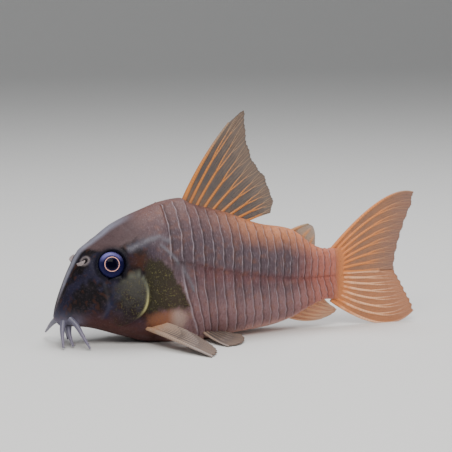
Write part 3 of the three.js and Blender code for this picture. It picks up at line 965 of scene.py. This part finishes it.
@dataclass
class Skin:
    """One skin over head, gill covers, trunk and tail stalk, with every relief pressed into it."""

    form: BodyForm
    finish: SkinFinish
    ring: int = 176
    head_stations: int = 190
    trunk_stations: int = 352
    crowding: float = 1.15
    tail_thinning: float = 0.62
    nostril: Triple = (-28.3, -2.75, 14.35)
    cover_outline: Points = (
        (-24.9, 0, 10.4), (-22.6, 0, 11.9), (-20.9, 0, 12.8), (-19.5, 0, 12.0), (-18.75, 0, 10.3),
        (-18.6, 0, 8.8), (-18.75, 0, 7.2), (-19.4, 0, 5.7), (-20.9, 0, 4.3), (-23.0, 0, 3.3), (-24.9, 0, 4.6),
        (-25.4, 0, 8.0), (-24.9, 0, 10.4),
    )
    cover_lift: float = 0.34
    slit_depth: float = 0.22
    socket_reach: float = 4.2
    socket_edge: tuple[float, float] = (2.05, 2.26)
    lid_radius: float = 2.44
    lid_lift: float = 0.26
    lip_lift: float = 0.36
    mouth_depth: float = 0.4
    nostril_depth: float = 0.55
    nostril_rim: float = 0.13
    last_scute_fade: tuple[float, float] = (16.9, 18.3)
    mouth_front: float = -32.7
    mouth_corner: Triple = (-30.0, 2.9, 3.85)
    marks: dict[str, Array] = field(default_factory=dict)

    def _stations(self) -> Array:
        """Stations from nose to tail, closer together on the head and at the snout's tip.

        Returns:
            Places along the body, from the nose back.
        """
        form = self.form
        share = np.linspace(0, 1, self.head_stations, endpoint=False) ** self.crowding
        trunk = np.linspace(form.neck, form.end, self.trunk_stations)
        return np.concatenate([form.nose + (form.neck - form.nose) * share, trunk])

    def _plates(self, station: Array, down: Array) -> Array:
        """How far the scutes lift the surface, and the marks their edges leave, with painted shadow just
        behind each edge.

        Args:
            station: places from nose to tail, before any lean.
            down: 0 on the back to 1 on the belly.

        Returns:
            The lift in millimetres.
        """
        body = ease(station, self.form.neck + 0.4, self.form.neck + 1.4)
        body = body * (1 - ease(station, *self.last_scute_fade))
        wave = 0.055 * np.sin(down * 43 + station * 1.7)
        wave = wave + 0.045 * np.sin(down * 81 - station * 2.3)
        number, along = self.form.plate(station + wave, down)
        behind = np.clip(self.form.step / 1.9, 0.04, 0.1)
        rise = np.where(along < behind, 1 - along / behind, ((along - behind) / (1 - behind)) ** 0.75)
        rise = np.where(number < 0, ease(along, 0.72, 1.0), rise)
        rows = ease(down, 0.05, 0.1) * (1 - ease(down, 0.83, 0.9))
        edge = np.maximum(bell(along, 0.975, 0.042), bell(along, 0.0, 0.03) * (number >= 0))
        self.marks["plate_edge"] = edge * body * rows * (1 - 0.75 * bell(down, 0.5, 0.02))
        # painted shadow in the low step just behind each scute's edge, where the plate in front overlaps;
        # every third plate also a little darker
        dark = bell(along, 0.14, 0.12) * (number >= 0)
        self.marks["plate_shadow_and_tone"] = (0.45 * dark + 0.1 * ((number * 7) % 3 == 0)) * rows * body
        return self.form.plate_share(down) * self.form.scute_lift * rise * body

    def _eye_socket(self, left: Array) -> Array:
        """Presses the socket and raises the lid round it.

        Args:
            left: points of the surface, all as on the left side.

        Returns:
            How far each point moves, along a last axis of three.
        """
        out = np.array(EYE_OUT)
        away = left - np.array(EYE_AT)
        depth = away @ out
        radius = np.linalg.norm(away - depth[..., None] * out, axis=-1)
        near = (radius < self.socket_reach) & (depth > -2.5)
        sink = np.where(near, -(depth + 0.5) * (1 - ease(radius, *self.socket_edge)), 0)
        lid = self.lid_lift * bell(radius, self.lid_radius, 0.2) - 0.06 * bell(radius, 3.0, 0.3)
        lid = np.where(near, lid, 0)
        self.marks["eye_shade"] = np.where(near, 1 - ease(radius, 2.3, 3.5), 0) ** 1.5
        return (sink + lid)[..., None] * out

    def _cover(self, left: Array, down: Array) -> Array:
        """How far the gill cover stands off the head, with the slit behind it.

        Args:
            left: points of the surface, all as on the left side.
            down: 0 on the back to 1 on the belly.

        Returns:
            The lift of each point in millimetres.
        """
        outline = Guide(self.cover_outline)(np.linspace(0, 1, 61)[:-1])[:, [0, 2]]
        depth = inside_depth(left[..., [0, 2]], outline)
        x, z = left[..., 0], left[..., 2]
        rear = ease(x, -23.8, -20.6) * (down > 0.2)
        low = ease(z, 11.5, 9.0)
        inside = ease(depth, -0.12, 0.12)
        self.marks["cover"] = ease(depth, -0.05, 0.35) * ease(x, -25.4, -21.6)
        self.marks["cover_edge"] = bell(depth, 0.24, 0.22) * rear * (0.45 + 0.4 * low) * ease(z, 4.4, 6.6)
        self.marks["rim_low"] = bell(z, 7.2, 2.0)
        ribs = 0.03 * np.sin(depth * 5.5) * ease(depth, 0.3, 0.8)
        slit = self.slit_depth * bell(depth, -0.26, 0.17)
        return rear * (self.cover_lift * inside - slit + ribs * inside)

    def _mouth(self, left: Array) -> Array:
        """How far the lips swell and the line of the mouth sinks.

        Args:
            left: points of the surface, all as on the left side.

        Returns:
            The lift of each point in millimetres.
        """
        cx, cy, cz = self.mouth_corner
        cheek = ((self.mouth_front + cx) / 2 - 0.4, -cy * 0.72, cz)
        arc = Guide(((self.mouth_front, 0, 3.95), cheek, (cx, -cy, cz)))
        line, along = distance_to(left, arc(np.linspace(0, 1, 14)))
        above = np.where(left[..., 2] > cz, 1.0, 0.75)
        fade = 1 - 0.4 * along
        lip = np.maximum(bell(line, 0.35, 0.75), 0.7 * bell(line, 0.2, 1.5))
        self.marks["lip"] = lip * (1 - bell(line, 0, 0.12))
        swell = self.lip_lift * above * bell(line, 0.55, 0.34)
        return fade * (swell - self.mouth_depth * bell(line, 0, 0.17))

    def _nostril(self, left: Array) -> Array:
        """How far the nostril sinks inside its raised edge.

        Args:
            left: points of the surface, all as on the left side.

        Returns:
            The lift of each point in millimetres.
        """
        away = np.linalg.norm((left - np.array(self.nostril)) * np.array([0.8, 1, 1]), axis=-1)
        # painted shade in the nostril hollow, nearly black
        self.marks["pit"] = bell(away, 0, 0.4)
        self.marks["flap"] = 0.35 * bell(away, 0.66, 0.2)
        return self.nostril_rim * bell(away, 0.62, 0.2) - self.nostril_depth * bell(away, 0, 0.36)

    def _flaps(self) -> tuple[Array, Array]:
        """The soft flaps before and behind each nostril, as points and faces.

        Returns:
            Their points, one a row, and their faces.
        """
        points, faces = [], []
        t = np.linspace(0, 1, 11)
        turn = np.arange(14) * math.pi / 7
        shapes = (
            ((-1.0, 0.5, -0.8), (-0.75, -0.25, -0.35), (-0.25, -0.75, 0.25), 0.62, (-0.62, -0.15, 0.75)),
            ((0.75, 0.5, -0.3), (0.7, -0.2, 0.05), (0.45, -0.65, 0.45), 0.42, (0.35, -0.15, 0.9)),
        )
        for side in Side:
            for *course, reach, across in shapes:
                middle = Guide(tuple(course))(t) + np.array(self.nostril)
                broad, thin = reach * (1 - 0.88 * t**1.3), 0.15 * (1 - 0.6 * t)
                rings = (middle[:, None] + (broad[:, None] * np.cos(turn))[..., None] * np.array(across)
                         + (thin[:, None] * np.sin(turn))[..., None] * np.array([0.5, -0.6, 0.35]))
                ring = len(turn)
                start = len(points) * len(t) * ring
                made = grid_faces(len(t), ring, closed=True).tolist()
                made += [list(range(ring))[::-1], list(range((len(t) - 1) * ring, len(t) * ring))]
                flap = side.place(rings.reshape(-1, 3))
                faces += [[start + i for i in face] for face in outward(flap, made)]
                points.append(flap)
        return np.vstack(points), faces

    def _bones(self, left: Array) -> Array:
        """Low ridges of the skull roof, cheek and shoulder under the skin.

        Args:
            left: points of the surface, all as on the left side.

        Returns:
            The lift of each point in millimetres.
        """
        side = left[..., [0, 2]]
        courses = {
            "suture": ((-21.6, 16.4), (-19.8, 17.2), (-18.2, 17.9), (-16.6, 18.2), (-15.2, 17.7)),
            "rim": ((-16.4, 17.0), (-14.7, 15.3), (-13.2, 13.4), (-11.9, 11.3), (-11.0, 9.3)),
            "cheek": ((-25.7, 10.8), (-25.2, 8.6), (-25.0, 6.6), (-25.9, 4.9)),
            "brow": ((-28.2, 15.6), (-26.0, 17.0), (-23.0, 16.9), (-20.8, 15.6)),
            "roof": ((-21.6, 20.0), (-20.2, 18.4), (-19.4, 17.2)),
            "streak": ((-24.3, 8.8), (-24.9, 7.0), (-25.3, 5.2)),
        }
        away = {name: distance_to(side, np.array(course))[0] for name, course in courses.items()}
        pale = np.maximum(bell(away["suture"], 0, 0.45), bell(away["rim"], 0, 0.28))
        self.marks["suture"] = np.maximum(pale, 0.16 * bell(away["cheek"], 0, 0.3))
        self.marks["streak"] = bell(away["streak"], 0, 0.5)
        lift = 0.12 * bell(away["suture"], 0, 0.35) + 0.14 * bell(away["rim"], 0, 0.25)
        lift += 0.08 * bell(away["cheek"], 0, 0.25)
        return lift + 0.12 * bell(away["brow"], 0, 0.6) - 0.03 * bell(away["roof"], 0, 0.3)

    def _regions(self, left: Array, down: Array) -> None:
        """Marks where each tone of the skin lies, and where the painted sheen lies.

        Args:
            left: points of the surface, all as on the left side.
            down: 0 on the back to 1 on the belly.
        """
        x, z = left[..., 0], left[..., 2]
        marks = self.marks
        marks["down"] = down
        marks["head"] = 1 - ease(x + 0.22 * (z - 14), -20.4, -15.0)
        marks["face"] = ease(down + 0.26 * ease(-x, 24.5, 29.0), 0.22, 0.4)
        marks["temple"] = bell(np.hypot((x + 20.3) * 0.55, z - 14.6), 0, 1.1)
        marks["throat"] = marks["head"] * ease(down, 0.62, 0.8)
        # where the painted sheen lies: along the top outline of the head
        on_top = 1 - ease(down, 0.03, 0.12)
        marks["profile"] = on_top * (1 - ease(x, -24, -17)) * ease(x, -33, -31)
        marks["warm"] = ease(x, -8, 3)
        marks["seam"] = bell(down, 0.5, 0.03) * ease(x, -13, -8)
        marks["seam"] = marks["seam"] + 0.8 * bell(down, 0.5, 0.09) * ease(x, 6, 14)
        marks["stalk"] = ease(x, 7, 17.5)
        marks["fin_root"] = ease(x, 16.6, 18.8)
        area = ease(x, -20.2, -18.4) * (1 - ease(x + 0.55 * (z - 10), -14.6, -12.0))
        marks["shoulder"] = area * ease(z, 4.0, 8.0) * (1 - ease(z, 13.0, 16.4))
        low = ease(x, -20.0, -17.0) * (1 - ease(x, -13.5, -10.0))
        marks["chest"] = low * ease(z, 1.0, 3.6) * (1 - ease(z, 4.8, 7.2))
        marks["cream"] = ease(x, -15.6, -13.4)

    def build(self) -> Piece:
        """Makes the skin, which stands for the flesh nodes.

        Returns:
            The skin.
        """
        station, turn = np.meshgrid(self._stations(), np.arange(self.ring) * 2 / self.ring, indexing="ij")
        down = 1 - np.abs(1 - turn)
        x = self.form.shifted(station, turn)
        points = self.form.point(x, turn * math.pi, self._plates(station, down))
        points[..., 1] *= 1 - self.tail_thinning * ease(x, 16.8, 19.4)
        normal = np.cross(np.roll(points, -1, 1) - np.roll(points, 1, 1), np.gradient(points, axis=0))
        normal /= np.maximum(np.linalg.norm(normal, axis=-1, keepdims=True), 1e-9)
        normal *= np.sign(-normal[self.head_stations, self.ring // 4, 1])
        left = np.stack([x, -np.abs(points[..., 1]), points[..., 2]], -1)
        self._regions(left, down)
        lift = self._cover(left, down) + self._mouth(left) + self._nostril(left) + self._bones(left)
        socket = self._eye_socket(left)
        socket[..., 1] *= np.where(points[..., 1] > 0, -1.0, 1.0)
        points = points + lift[..., None] * normal + socket
        points[..., 2] = np.maximum(points[..., 2], 0.0)
        verts = np.vstack([points.reshape(-1, 3), points[0].mean(0), points[-1].mean(0)])
        faces = outward(verts, capped_faces(*points.shape[:2]))
        flap_points, flap_faces = self._flaps()
        faces += [[len(verts) + i for i in face] for face in flap_faces]
        marks = {}
        for name, values in self.marks.items():
            ends = [values[0].mean(), values[-1].mean()]
            on_flaps = np.full(len(flap_points), 0.85 if name == "flap" else 0.0)
            marks[name] = np.concatenate([values.ravel(), ends, on_flaps])
        skin = mesh_object("skin", np.vstack([verts, flap_points]), faces, self.finish.material(), **marks)
        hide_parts("head", "trunk", "tail_stalk", "gill_cover_left", "gill_cover_right")
        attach(skin, BODY)
        return skin


@dataclass
class Eye:
    """One eyeball with its iris rings."""

    side: Side
    finish: EyeFinish
    radius: float = 2.3
    bulge: float = 1.7
    rings: int = 48
    around: int = 72

    def build(self) -> Piece:
        """Makes the eyeball, which stands for its node.

        Returns:
            The eyeball.
        """
        out = np.array(EYE_OUT) / np.linalg.norm(EYE_OUT)
        up = np.array([0, 0, 1.0]) - out[2] * out
        up /= np.linalg.norm(up)
        across = np.cross(up, out)
        polar = np.linspace(0, math.pi, self.rings + 1)[1:-1]
        turn = np.arange(self.around) * 2 * math.pi / self.around
        polar, turn = np.meshgrid(polar, turn, indexing="ij")
        reach = self.radius * np.sin(polar)
        ball = (self.bulge * np.cos(polar))[..., None] * out
        ball = ball + (reach * np.cos(turn))[..., None] * up + (reach * np.sin(turn))[..., None] * across
        away = np.vstack([ball.reshape(-1, 3), out * self.bulge, -out * self.bulge])
        flat = away - (away @ out)[:, None] * out
        radius = np.linalg.norm(flat, axis=1)
        upper = ease(flat @ up / np.maximum(radius, 0.2), 0.15, 0.95) * ease(radius, 1.3, 1.7)
        points = self.side.place(away + np.array(EYE_AT))
        faces = outward(points, capped_faces(self.rings - 1, self.around))
        material = self.finish.material()
        eye = mesh_object(f"eyeball_{self.side.word}", points, faces, material, radius=radius, upper=upper)
        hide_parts(f"eye_{self.side.word}")
        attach(eye, BODY)
        return eye


# Fins and feelers


@dataclass(frozen=True)
class FinLook:
    """The two finishes of a fin."""

    web: WebFinish
    rays: RayFinish


@dataclass
class Fin:
    """A fin: a thin web with forked, jointed rays swept through it."""

    name: str
    tone: "FinTone"
    rays: int
    roots: Guide
    tips: Guide
    bow_first: Triple
    bow_last: Triple
    bow_power: float = 1.0
    spine: float = 0.36
    ray: float = 0.31
    web: float = 0.09
    fork: float = 0.46
    second_fork: float = 0.74
    notch: float = 0.018
    teeth: float = 0.01
    side: Side = Side.LEFT
    spread: float = 0.17
    twig_spread: float = 0.25
    twig_gap: float = 0.11
    branch_width: float = 0.72
    twig_width: float = 0.5
    twig_end: float = 0.98
    rows: int = 40
    per_ray: int = 16

    def _surface(self, at: Array, out: Array) -> Array:
        """Points in the middle of the web.

        Args:
            at: place across the fin, counted in rays from the first.
            out: 0 at the root to 1 at the margin.

        Returns:
            Coordinates along a last axis of three.
        """
        share = np.clip(at / (self.rays - 1), 0, 1)
        gap = 1 - self.notch * np.sin(math.pi * at) ** 2 - self.teeth * np.abs(np.sin(4 * math.pi * at))
        t = (out * gap)[..., None]
        root, tip = self.roots(share), self.tips(share)
        weight = ((1 - share) ** self.bow_power)[..., None]
        bow = np.array(self.bow_first) * weight + np.array(self.bow_last) * (1 - weight)
        control = (root + tip) / 2 + bow
        return (1 - t) ** 2 * root + 2 * t * (1 - t) * control + t**2 * tip

    def _branches(self) -> list[tuple[float, ...]]:
        """Stretches of one ray: where each starts and ends outwards, its offsets there, and its width.

        Returns:
            One row of five numbers for each stretch.
        """
        parts = [(0.0, self.fork, 0.0, 0.0, 1.0)]
        for way in (-1, 1):
            start = way * self.spread
            parts.append((self.fork, self.second_fork, 0.0, start, self.branch_width))
            for twig in (-1, 1):
                end = way * self.twig_spread + twig * self.twig_gap
                parts.append((self.second_fork, self.twig_end, start, end, self.twig_width))
        return parts

    def _ray_lines(self) -> list[Rod]:
        """Every stretch of every ray as points, radii and places out along the fin.

        Returns:
            One rod for each stretch, the spine first.
        """
        t = np.linspace(0, 1, 40)
        lines = [(self._surface(np.zeros(40), t * 0.995), self.spine * (1 - 0.62 * t), t)]
        share = np.linspace(0, 1, 12)
        for ray in range(1, self.rays):
            edge = ray == self.rays - 1
            for start, end, begin, to, width in self._branches():
                out = np.linspace(start, end, len(share))
                offset = begin + (to - begin) * share * (2 - share)
                at = ray + np.minimum(offset, 0) if edge else ray + offset
                radius = self.ray * width * (1 - 0.45 * out) * (1 - 0.15 * share)
                lines.append((self._surface(at, out), radius, out))
        return lines

    def build(self) -> list[Piece]:
        """Makes the web and the rays, which stand for the fin's nodes.

        Returns:
            The web and the rays.
        """
        across = np.linspace(0, self.rays - 1, (self.rays - 1) * self.per_ray + 1)
        at, out = np.meshgrid(across, np.linspace(0, 1, self.rows), indexing="ij")
        middle = self._surface(at, out)
        face = np.cross(np.gradient(middle, axis=0), np.gradient(middle, axis=1))
        face /= np.maximum(np.linalg.norm(face, axis=-1, keepdims=True), 1e-9)
        near = 0.5 - np.abs(at % 1 - 0.5)
        ray_mark = bell(near, 0, 0.16) * (1 - 0.75 * ease(out, self.fork - 0.1, self.second_fork))
        half = self.web * (1 + 0.9 * ray_mark) * (1 - 0.35 * out)
        left, right = middle + face * half[..., None], middle - face * half[..., None]
        points = self.side.place(np.vstack([left.reshape(-1, 3), right.reshape(-1, 3)]))
        sheet = grid_faces(*at.shape)
        faces = sheet.tolist() + (sheet[:, ::-1] + at.size).tolist()
        index = np.arange(at.size).reshape(at.shape)
        rim = np.concatenate([index[:, 0], index[-1, 1:], index[-2::-1, -1], index[0, -2:0:-1]]).tolist()
        for a, b in zip(rim, rim[1:] + rim[:1]):
            faces.append([b, a, at.size + a, at.size + b])
        look = self.tone.value
        marks = {"out": out, "ray": ray_mark, "across": at}
        marks = {name: np.tile(values.ravel(), 2) for name, values in marks.items()}
        web = mesh_object(f"{self.name}_web", points, outward(points, faces), look.web.material(), **marks)
        lines = [(self.side.place(line), *rest) for line, *rest in self._ray_lines()]
        rays = SweptRods().build(f"{self.name}_rays", lines, look.rays.material())
        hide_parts(self.name)
        for piece in (web, rays):
            on_or_above_floor(piece)
            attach(piece, BODY)
        return [web, rays]


class FinTone(Enum):
    """The looks of the fish's fins."""

    DORSAL = FinLook(
        WebFinish("dorsal_web", (0.075, 0.062, 0.058), (0.23, 0.12, 0.06), (0.19, 0.14, 0.11), 0.2),
        RayFinish("dorsal_rays", (0.46, 0.17, 0.055), (0.58, 0.2, 0.035), (0.32, 0.205, 0.125)),
    )
    ADIPOSE = FinLook(
        WebFinish("adipose_web", (0.32, 0.245, 0.19), (0.54, 0.24, 0.09), (0.33, 0.29, 0.26), 0.06),
        RayFinish("adipose_rays", (0.48, 0.2, 0.08), (0.52, 0.24, 0.1), (0.36, 0.26, 0.16)),
    )
    TAIL = FinLook(
        WebFinish("tail_web", (0.27, 0.135, 0.078), (0.6, 0.2, 0.05), (0.16, 0.115, 0.112), 0.12),
        RayFinish("tail_rays", (0.62, 0.2, 0.05), (0.68, 0.23, 0.06), (0.36, 0.19, 0.115)),
    )
    TAIL_LOW = FinLook(
        WebFinish("tail_low_web", (0.4, 0.165, 0.076), (0.66, 0.22, 0.055), (0.38, 0.18, 0.112), 0.12),
        RayFinish("tail_low_rays", (0.62, 0.2, 0.05), (0.85, 0.46, 0.26), (0.48, 0.225, 0.13)),
    )
    ANAL = FinLook(
        WebFinish("anal_web", (0.5, 0.21, 0.105), (0.64, 0.25, 0.1), (0.46, 0.24, 0.14), 0.2),
        RayFinish("anal_rays", (0.52, 0.22, 0.1), (0.6, 0.3, 0.16), (0.5, 0.29, 0.18)),
    )
    PAIRED = FinLook(
        WebFinish("paired_web", (0.088, 0.08, 0.082), (0.3, 0.19, 0.125), (0.26, 0.185, 0.145), 0.16),
        RayFinish("paired_rays", (0.4, 0.22, 0.12), (0.4, 0.28, 0.21), (0.36, 0.29, 0.26)),
    )


def level(*points: tuple[float, float]) -> Guide:
    """A guide in the fish's middle plane, from x and z."""
    return Guide(tuple((x, 0.0, z) for x, z in points), by_length=False)


def all_fins() -> list[Fin]:
    """Lays out every fin as its solid is.

    Returns:
        The fins, with those in the middle plane first.
    """
    fork, root = 9.4, 18.2
    fins = [
        Fin(
            "dorsal_fin", FinTone.DORSAL, 9,
            level((-10.4, 22.9), (-7.6, 21.2), (-3.8, 20.2), (-0.3, 18.9)),
            level((-2, 36.4), (0.7, 38.35), (1, 35), (1.7, 31.6), (2.9, 29), (4.5, 27), (5.4, 24.6),
                  (6.1, 22.6), (5.6, 20.6)),
            (-1.0, 0, 0.5), (0.2, 0, 0.3), spine=0.42,
        ),
        Fin(
            "adipose_fin", FinTone.ADIPOSE, 4,
            level((8.9, 16.9), (11.8, 14.7), (13.7, 13.0)),
            level((12.7, 18.3), (13.5, 17.8), (13.9, 16.5), (13.9, 14.8)),
            (0, 0, 0.4), (0, 0, 0), ray=0.07, fork=0.9, second_fork=0.95, notch=0.0, teeth=0.0,
        ),
        Fin(
            "anal_fin", FinTone.ANAL, 7,
            level((7.4, 2.9), (10.8, 4.2), (14.6, 6.0)),
            level((15.4, 1.5), (17.0, 2.0), (18.1, 2.9), (16.6, 4.0)),
            (0, 0, -1.5), (0, 0, -0.25), spine=0.24,
        ),
        Fin(
            "tail_fin_upper", FinTone.TAIL, 8,
            level((root - 1.2, 13.6), (root, 11.5), (root, fork + 0.1)),
            level((32.7, 23), (32.3, 20.8), (31.4, 18.8), (30.7, 16.9), (30.1, 15.1), (29.6, 13.2),
                  (29.2, 11.3), (29.1, fork + 0.05)),
            (2.4, 0, 6.4), (0, 0, 0), bow_power=1.4, spine=0.3,
        ),
        Fin(
            "tail_fin_lower", FinTone.TAIL_LOW, 8,
            level((root - 1.2, 4.6), (root, 7.0), (root, fork - 0.1)),
            level((32.98, 1.9), (32.7, 3), (32.2, 4), (31.6, 5), (31, 6.1), (30.4, 7.2), (29.8, 8.2),
                  (29.1, fork - 0.05)),
            (2.8, 0, -6.4), (0, 0, 0), bow_power=1.5, spine=0.3,
        ),
    ]
    for side in Side:
        fins.append(Fin(
            f"pectoral_fin_{side.word}", FinTone.PAIRED, 9,
            Guide(((-18.6, -4.8, 3.0), (-17.4, -5.2, 3.5), (-16.2, -5.6, 3.9))),
            Guide(((-11.6, -18.6, 0.25), (-10.1, -16.6, 0.35), (-9.4, -14, 0.5), (-9.8, -11.5, 1),
                   (-11, -9.3, 1.9))),
            (-0.7, -0.5, 0.5), (0, -0.5, 0.5), spine=0.42, ray=0.22, side=side,
        ))
        fins.append(Fin(
            f"pelvic_fin_{side.word}", FinTone.PAIRED, 6,
            Guide(((-8.9, -3.0, 2.2), (-8.2, -2.8, 2.3), (-7.5, -2.6, 2.4))),
            Guide(((-6.2, -11.4, 0.22), (-3.9, -10.6, 0.3), (-2.2, -8.4, 0.5), (-1.9, -6.2, 0.9))),
            (-0.5, -1.4, -0.5), (-0.5, 0, -0.5), spine=0.28, ray=0.2, side=side,
        ))
    return fins


@dataclass
class Barbels:
    """The three pairs of feelers round the mouth."""

    finish: BarbelFinish
    root_radius: float = 0.6
    tip_radius: float = 0.16
    courses: tuple[tuple[str, Points], ...] = (
        ("upper_left", ((-31.9, -1.8, 4.3), (-32.4, -2.9, 2.7), (-32.6, -4.3, 0.4))),
        ("upper_right", ((-31.9, 1.8, 4.2), (-32.4, 4.0, 2.9), (-32.6, 7.2, 1.0))),
        ("lower_left", ((-30.9, -2.4, 4.8), (-30.1, -3.6, 3.8), (-29.4, -4.9, 2.2), (-28.6, -6.3, 0.35))),
        ("lower_right", ((-30.9, 2.4, 4.8), (-30.1, 3.6, 3.8), (-29.4, 4.9, 2.2), (-28.6, 6.3, 0.35))),
        ("chin_left", ((-30.9, -1.2, 3.2), (-31.0, -2.2, 2.1), (-30.7, -3.5, 0.35))),
        ("chin_right", ((-30.6, 1.2, 3.2), (-30.3, 2.2, 2.1), (-29.8, 3.2, 0.35))),
    )

    def build(self) -> list[Piece]:
        """Makes each feeler as a piece that stands for its node.

        Returns:
            The feelers.
        """
        pieces = []
        material = self.finish.material()
        t = np.linspace(0, 1, 30)
        radius = self.root_radius + (self.tip_radius - self.root_radius) * t**0.8
        for place, course in self.courses:
            piece = SweptRods(sides=14).build(f"feeler_{place}", [(Guide(course)(t), radius, t)], material)
            on_or_above_floor(piece)
            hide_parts(f"barbel_{place}")
            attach(piece, BODY)
            pieces.append(piece)
        return pieces


# The studio


@dataclass
class Studio:
    """A pale floor, soft light and the camera at the photograph's viewing angle."""

    camera_at: Triple = (-114.311, -307.081, 64.586)
    look_at: Triple = (-2.543, 0.0, 18.659)
    lens: float = 153.93
    sensor: float = 36.0
    view_end: float = 20.0
    floor: FloorFinish = field(default_factory=FloorFinish)

    def _floor(self) -> None:
        """A level floor that curves up far behind the fish."""
        near, far, bend, top, half_width, steps = -1200.0, 700.0, 500.0, 1600.0, 1800.0, 12
        profile = [(near, 0.0), (far, 0.0)]
        for step in range(1, steps + 1):
            turn = step / steps * math.pi / 2
            profile.append((far + bend * math.sin(turn), bend - bend * math.cos(turn)))
        profile.append((far + bend, top))
        points = np.array([(x, y, z) for y, z in profile for x in (-half_width, half_width)])
        sweep = mesh_object("studio_floor", points, grid_faces(len(profile), 2), self.floor.material())

    def _light(self, name: str, at: Triple, size: float, power: float, colour: Colour) -> None:
        """A square soft light that faces the fish.

        Args:
            name: the light's name.
            at: where it stands.
            size: how wide it is.
            power: its strength in watts.
            colour: its colour.
        """
        lamp = bpy.data.lights.new(name, "AREA")
        lamp.shape, lamp.size, lamp.energy, lamp.color = "SQUARE", size * MM, power, colour
        holder = linked(name, lamp)
        holder.location = Vector(at) * MM
        holder.rotation_euler = (Vector((0, 0, 12)) - Vector(at)).to_track_quat("-Z", "Y").to_euler()

    def build(self) -> None:
        """Sets up the floor, the lights, the sky and the camera."""
        self._floor()
        self._light("key", (-120, -260, 340), 240, 1.5, (1.0, 0.98, 0.95))
        self._light("top", (60, 60, 380), 260, 1.4, (0.95, 0.97, 1.0))
        self._light("fill", (220, -260, 120), 260, 0.35, (1.0, 0.97, 0.95))
        world = bpy.data.worlds.new("studio")
        world.use_nodes = True
        sky = world.node_tree.nodes["Background"].inputs
        sky["Color"].default_value = (0.85, 0.88, 0.92, 1)
        sky["Strength"].default_value = 0.35
        bpy.context.scene.world = world
        data = bpy.data.cameras.new("camera")
        data.lens, data.sensor_width, data.clip_end = self.lens, self.sensor, self.view_end
        camera = linked("camera", data)
        camera.location = Vector(self.camera_at) * MM
        aim = Vector(self.look_at) - Vector(self.camera_at)
        camera.rotation_euler = aim.to_track_quat("-Z", "Y").to_euler()
        bpy.context.scene.camera = camera


# The whole


def report(*pieces: Piece) -> None:
    """Logs the name and size of each piece."""
    for piece in pieces:
        log.info("%s: %d faces", piece.name, len(piece.data.polygons))


def main() -> None:
    """Builds the fish piece by piece, after the studio."""
    Studio().build()
    log.info("studio: floor, three lights and the camera")
    report(Skin(BodyForm(), SkinFinish()).build())
    for side in Side:
        report(Eye(side, EyeFinish()).build())
    for fin in all_fins():
        report(*fin.build())
    report(*Barbels(BarbelFinish()).build())


if __name__ == "__main__":
    logging.basicConfig(level=logging.INFO, format="%(message)s")
    main()
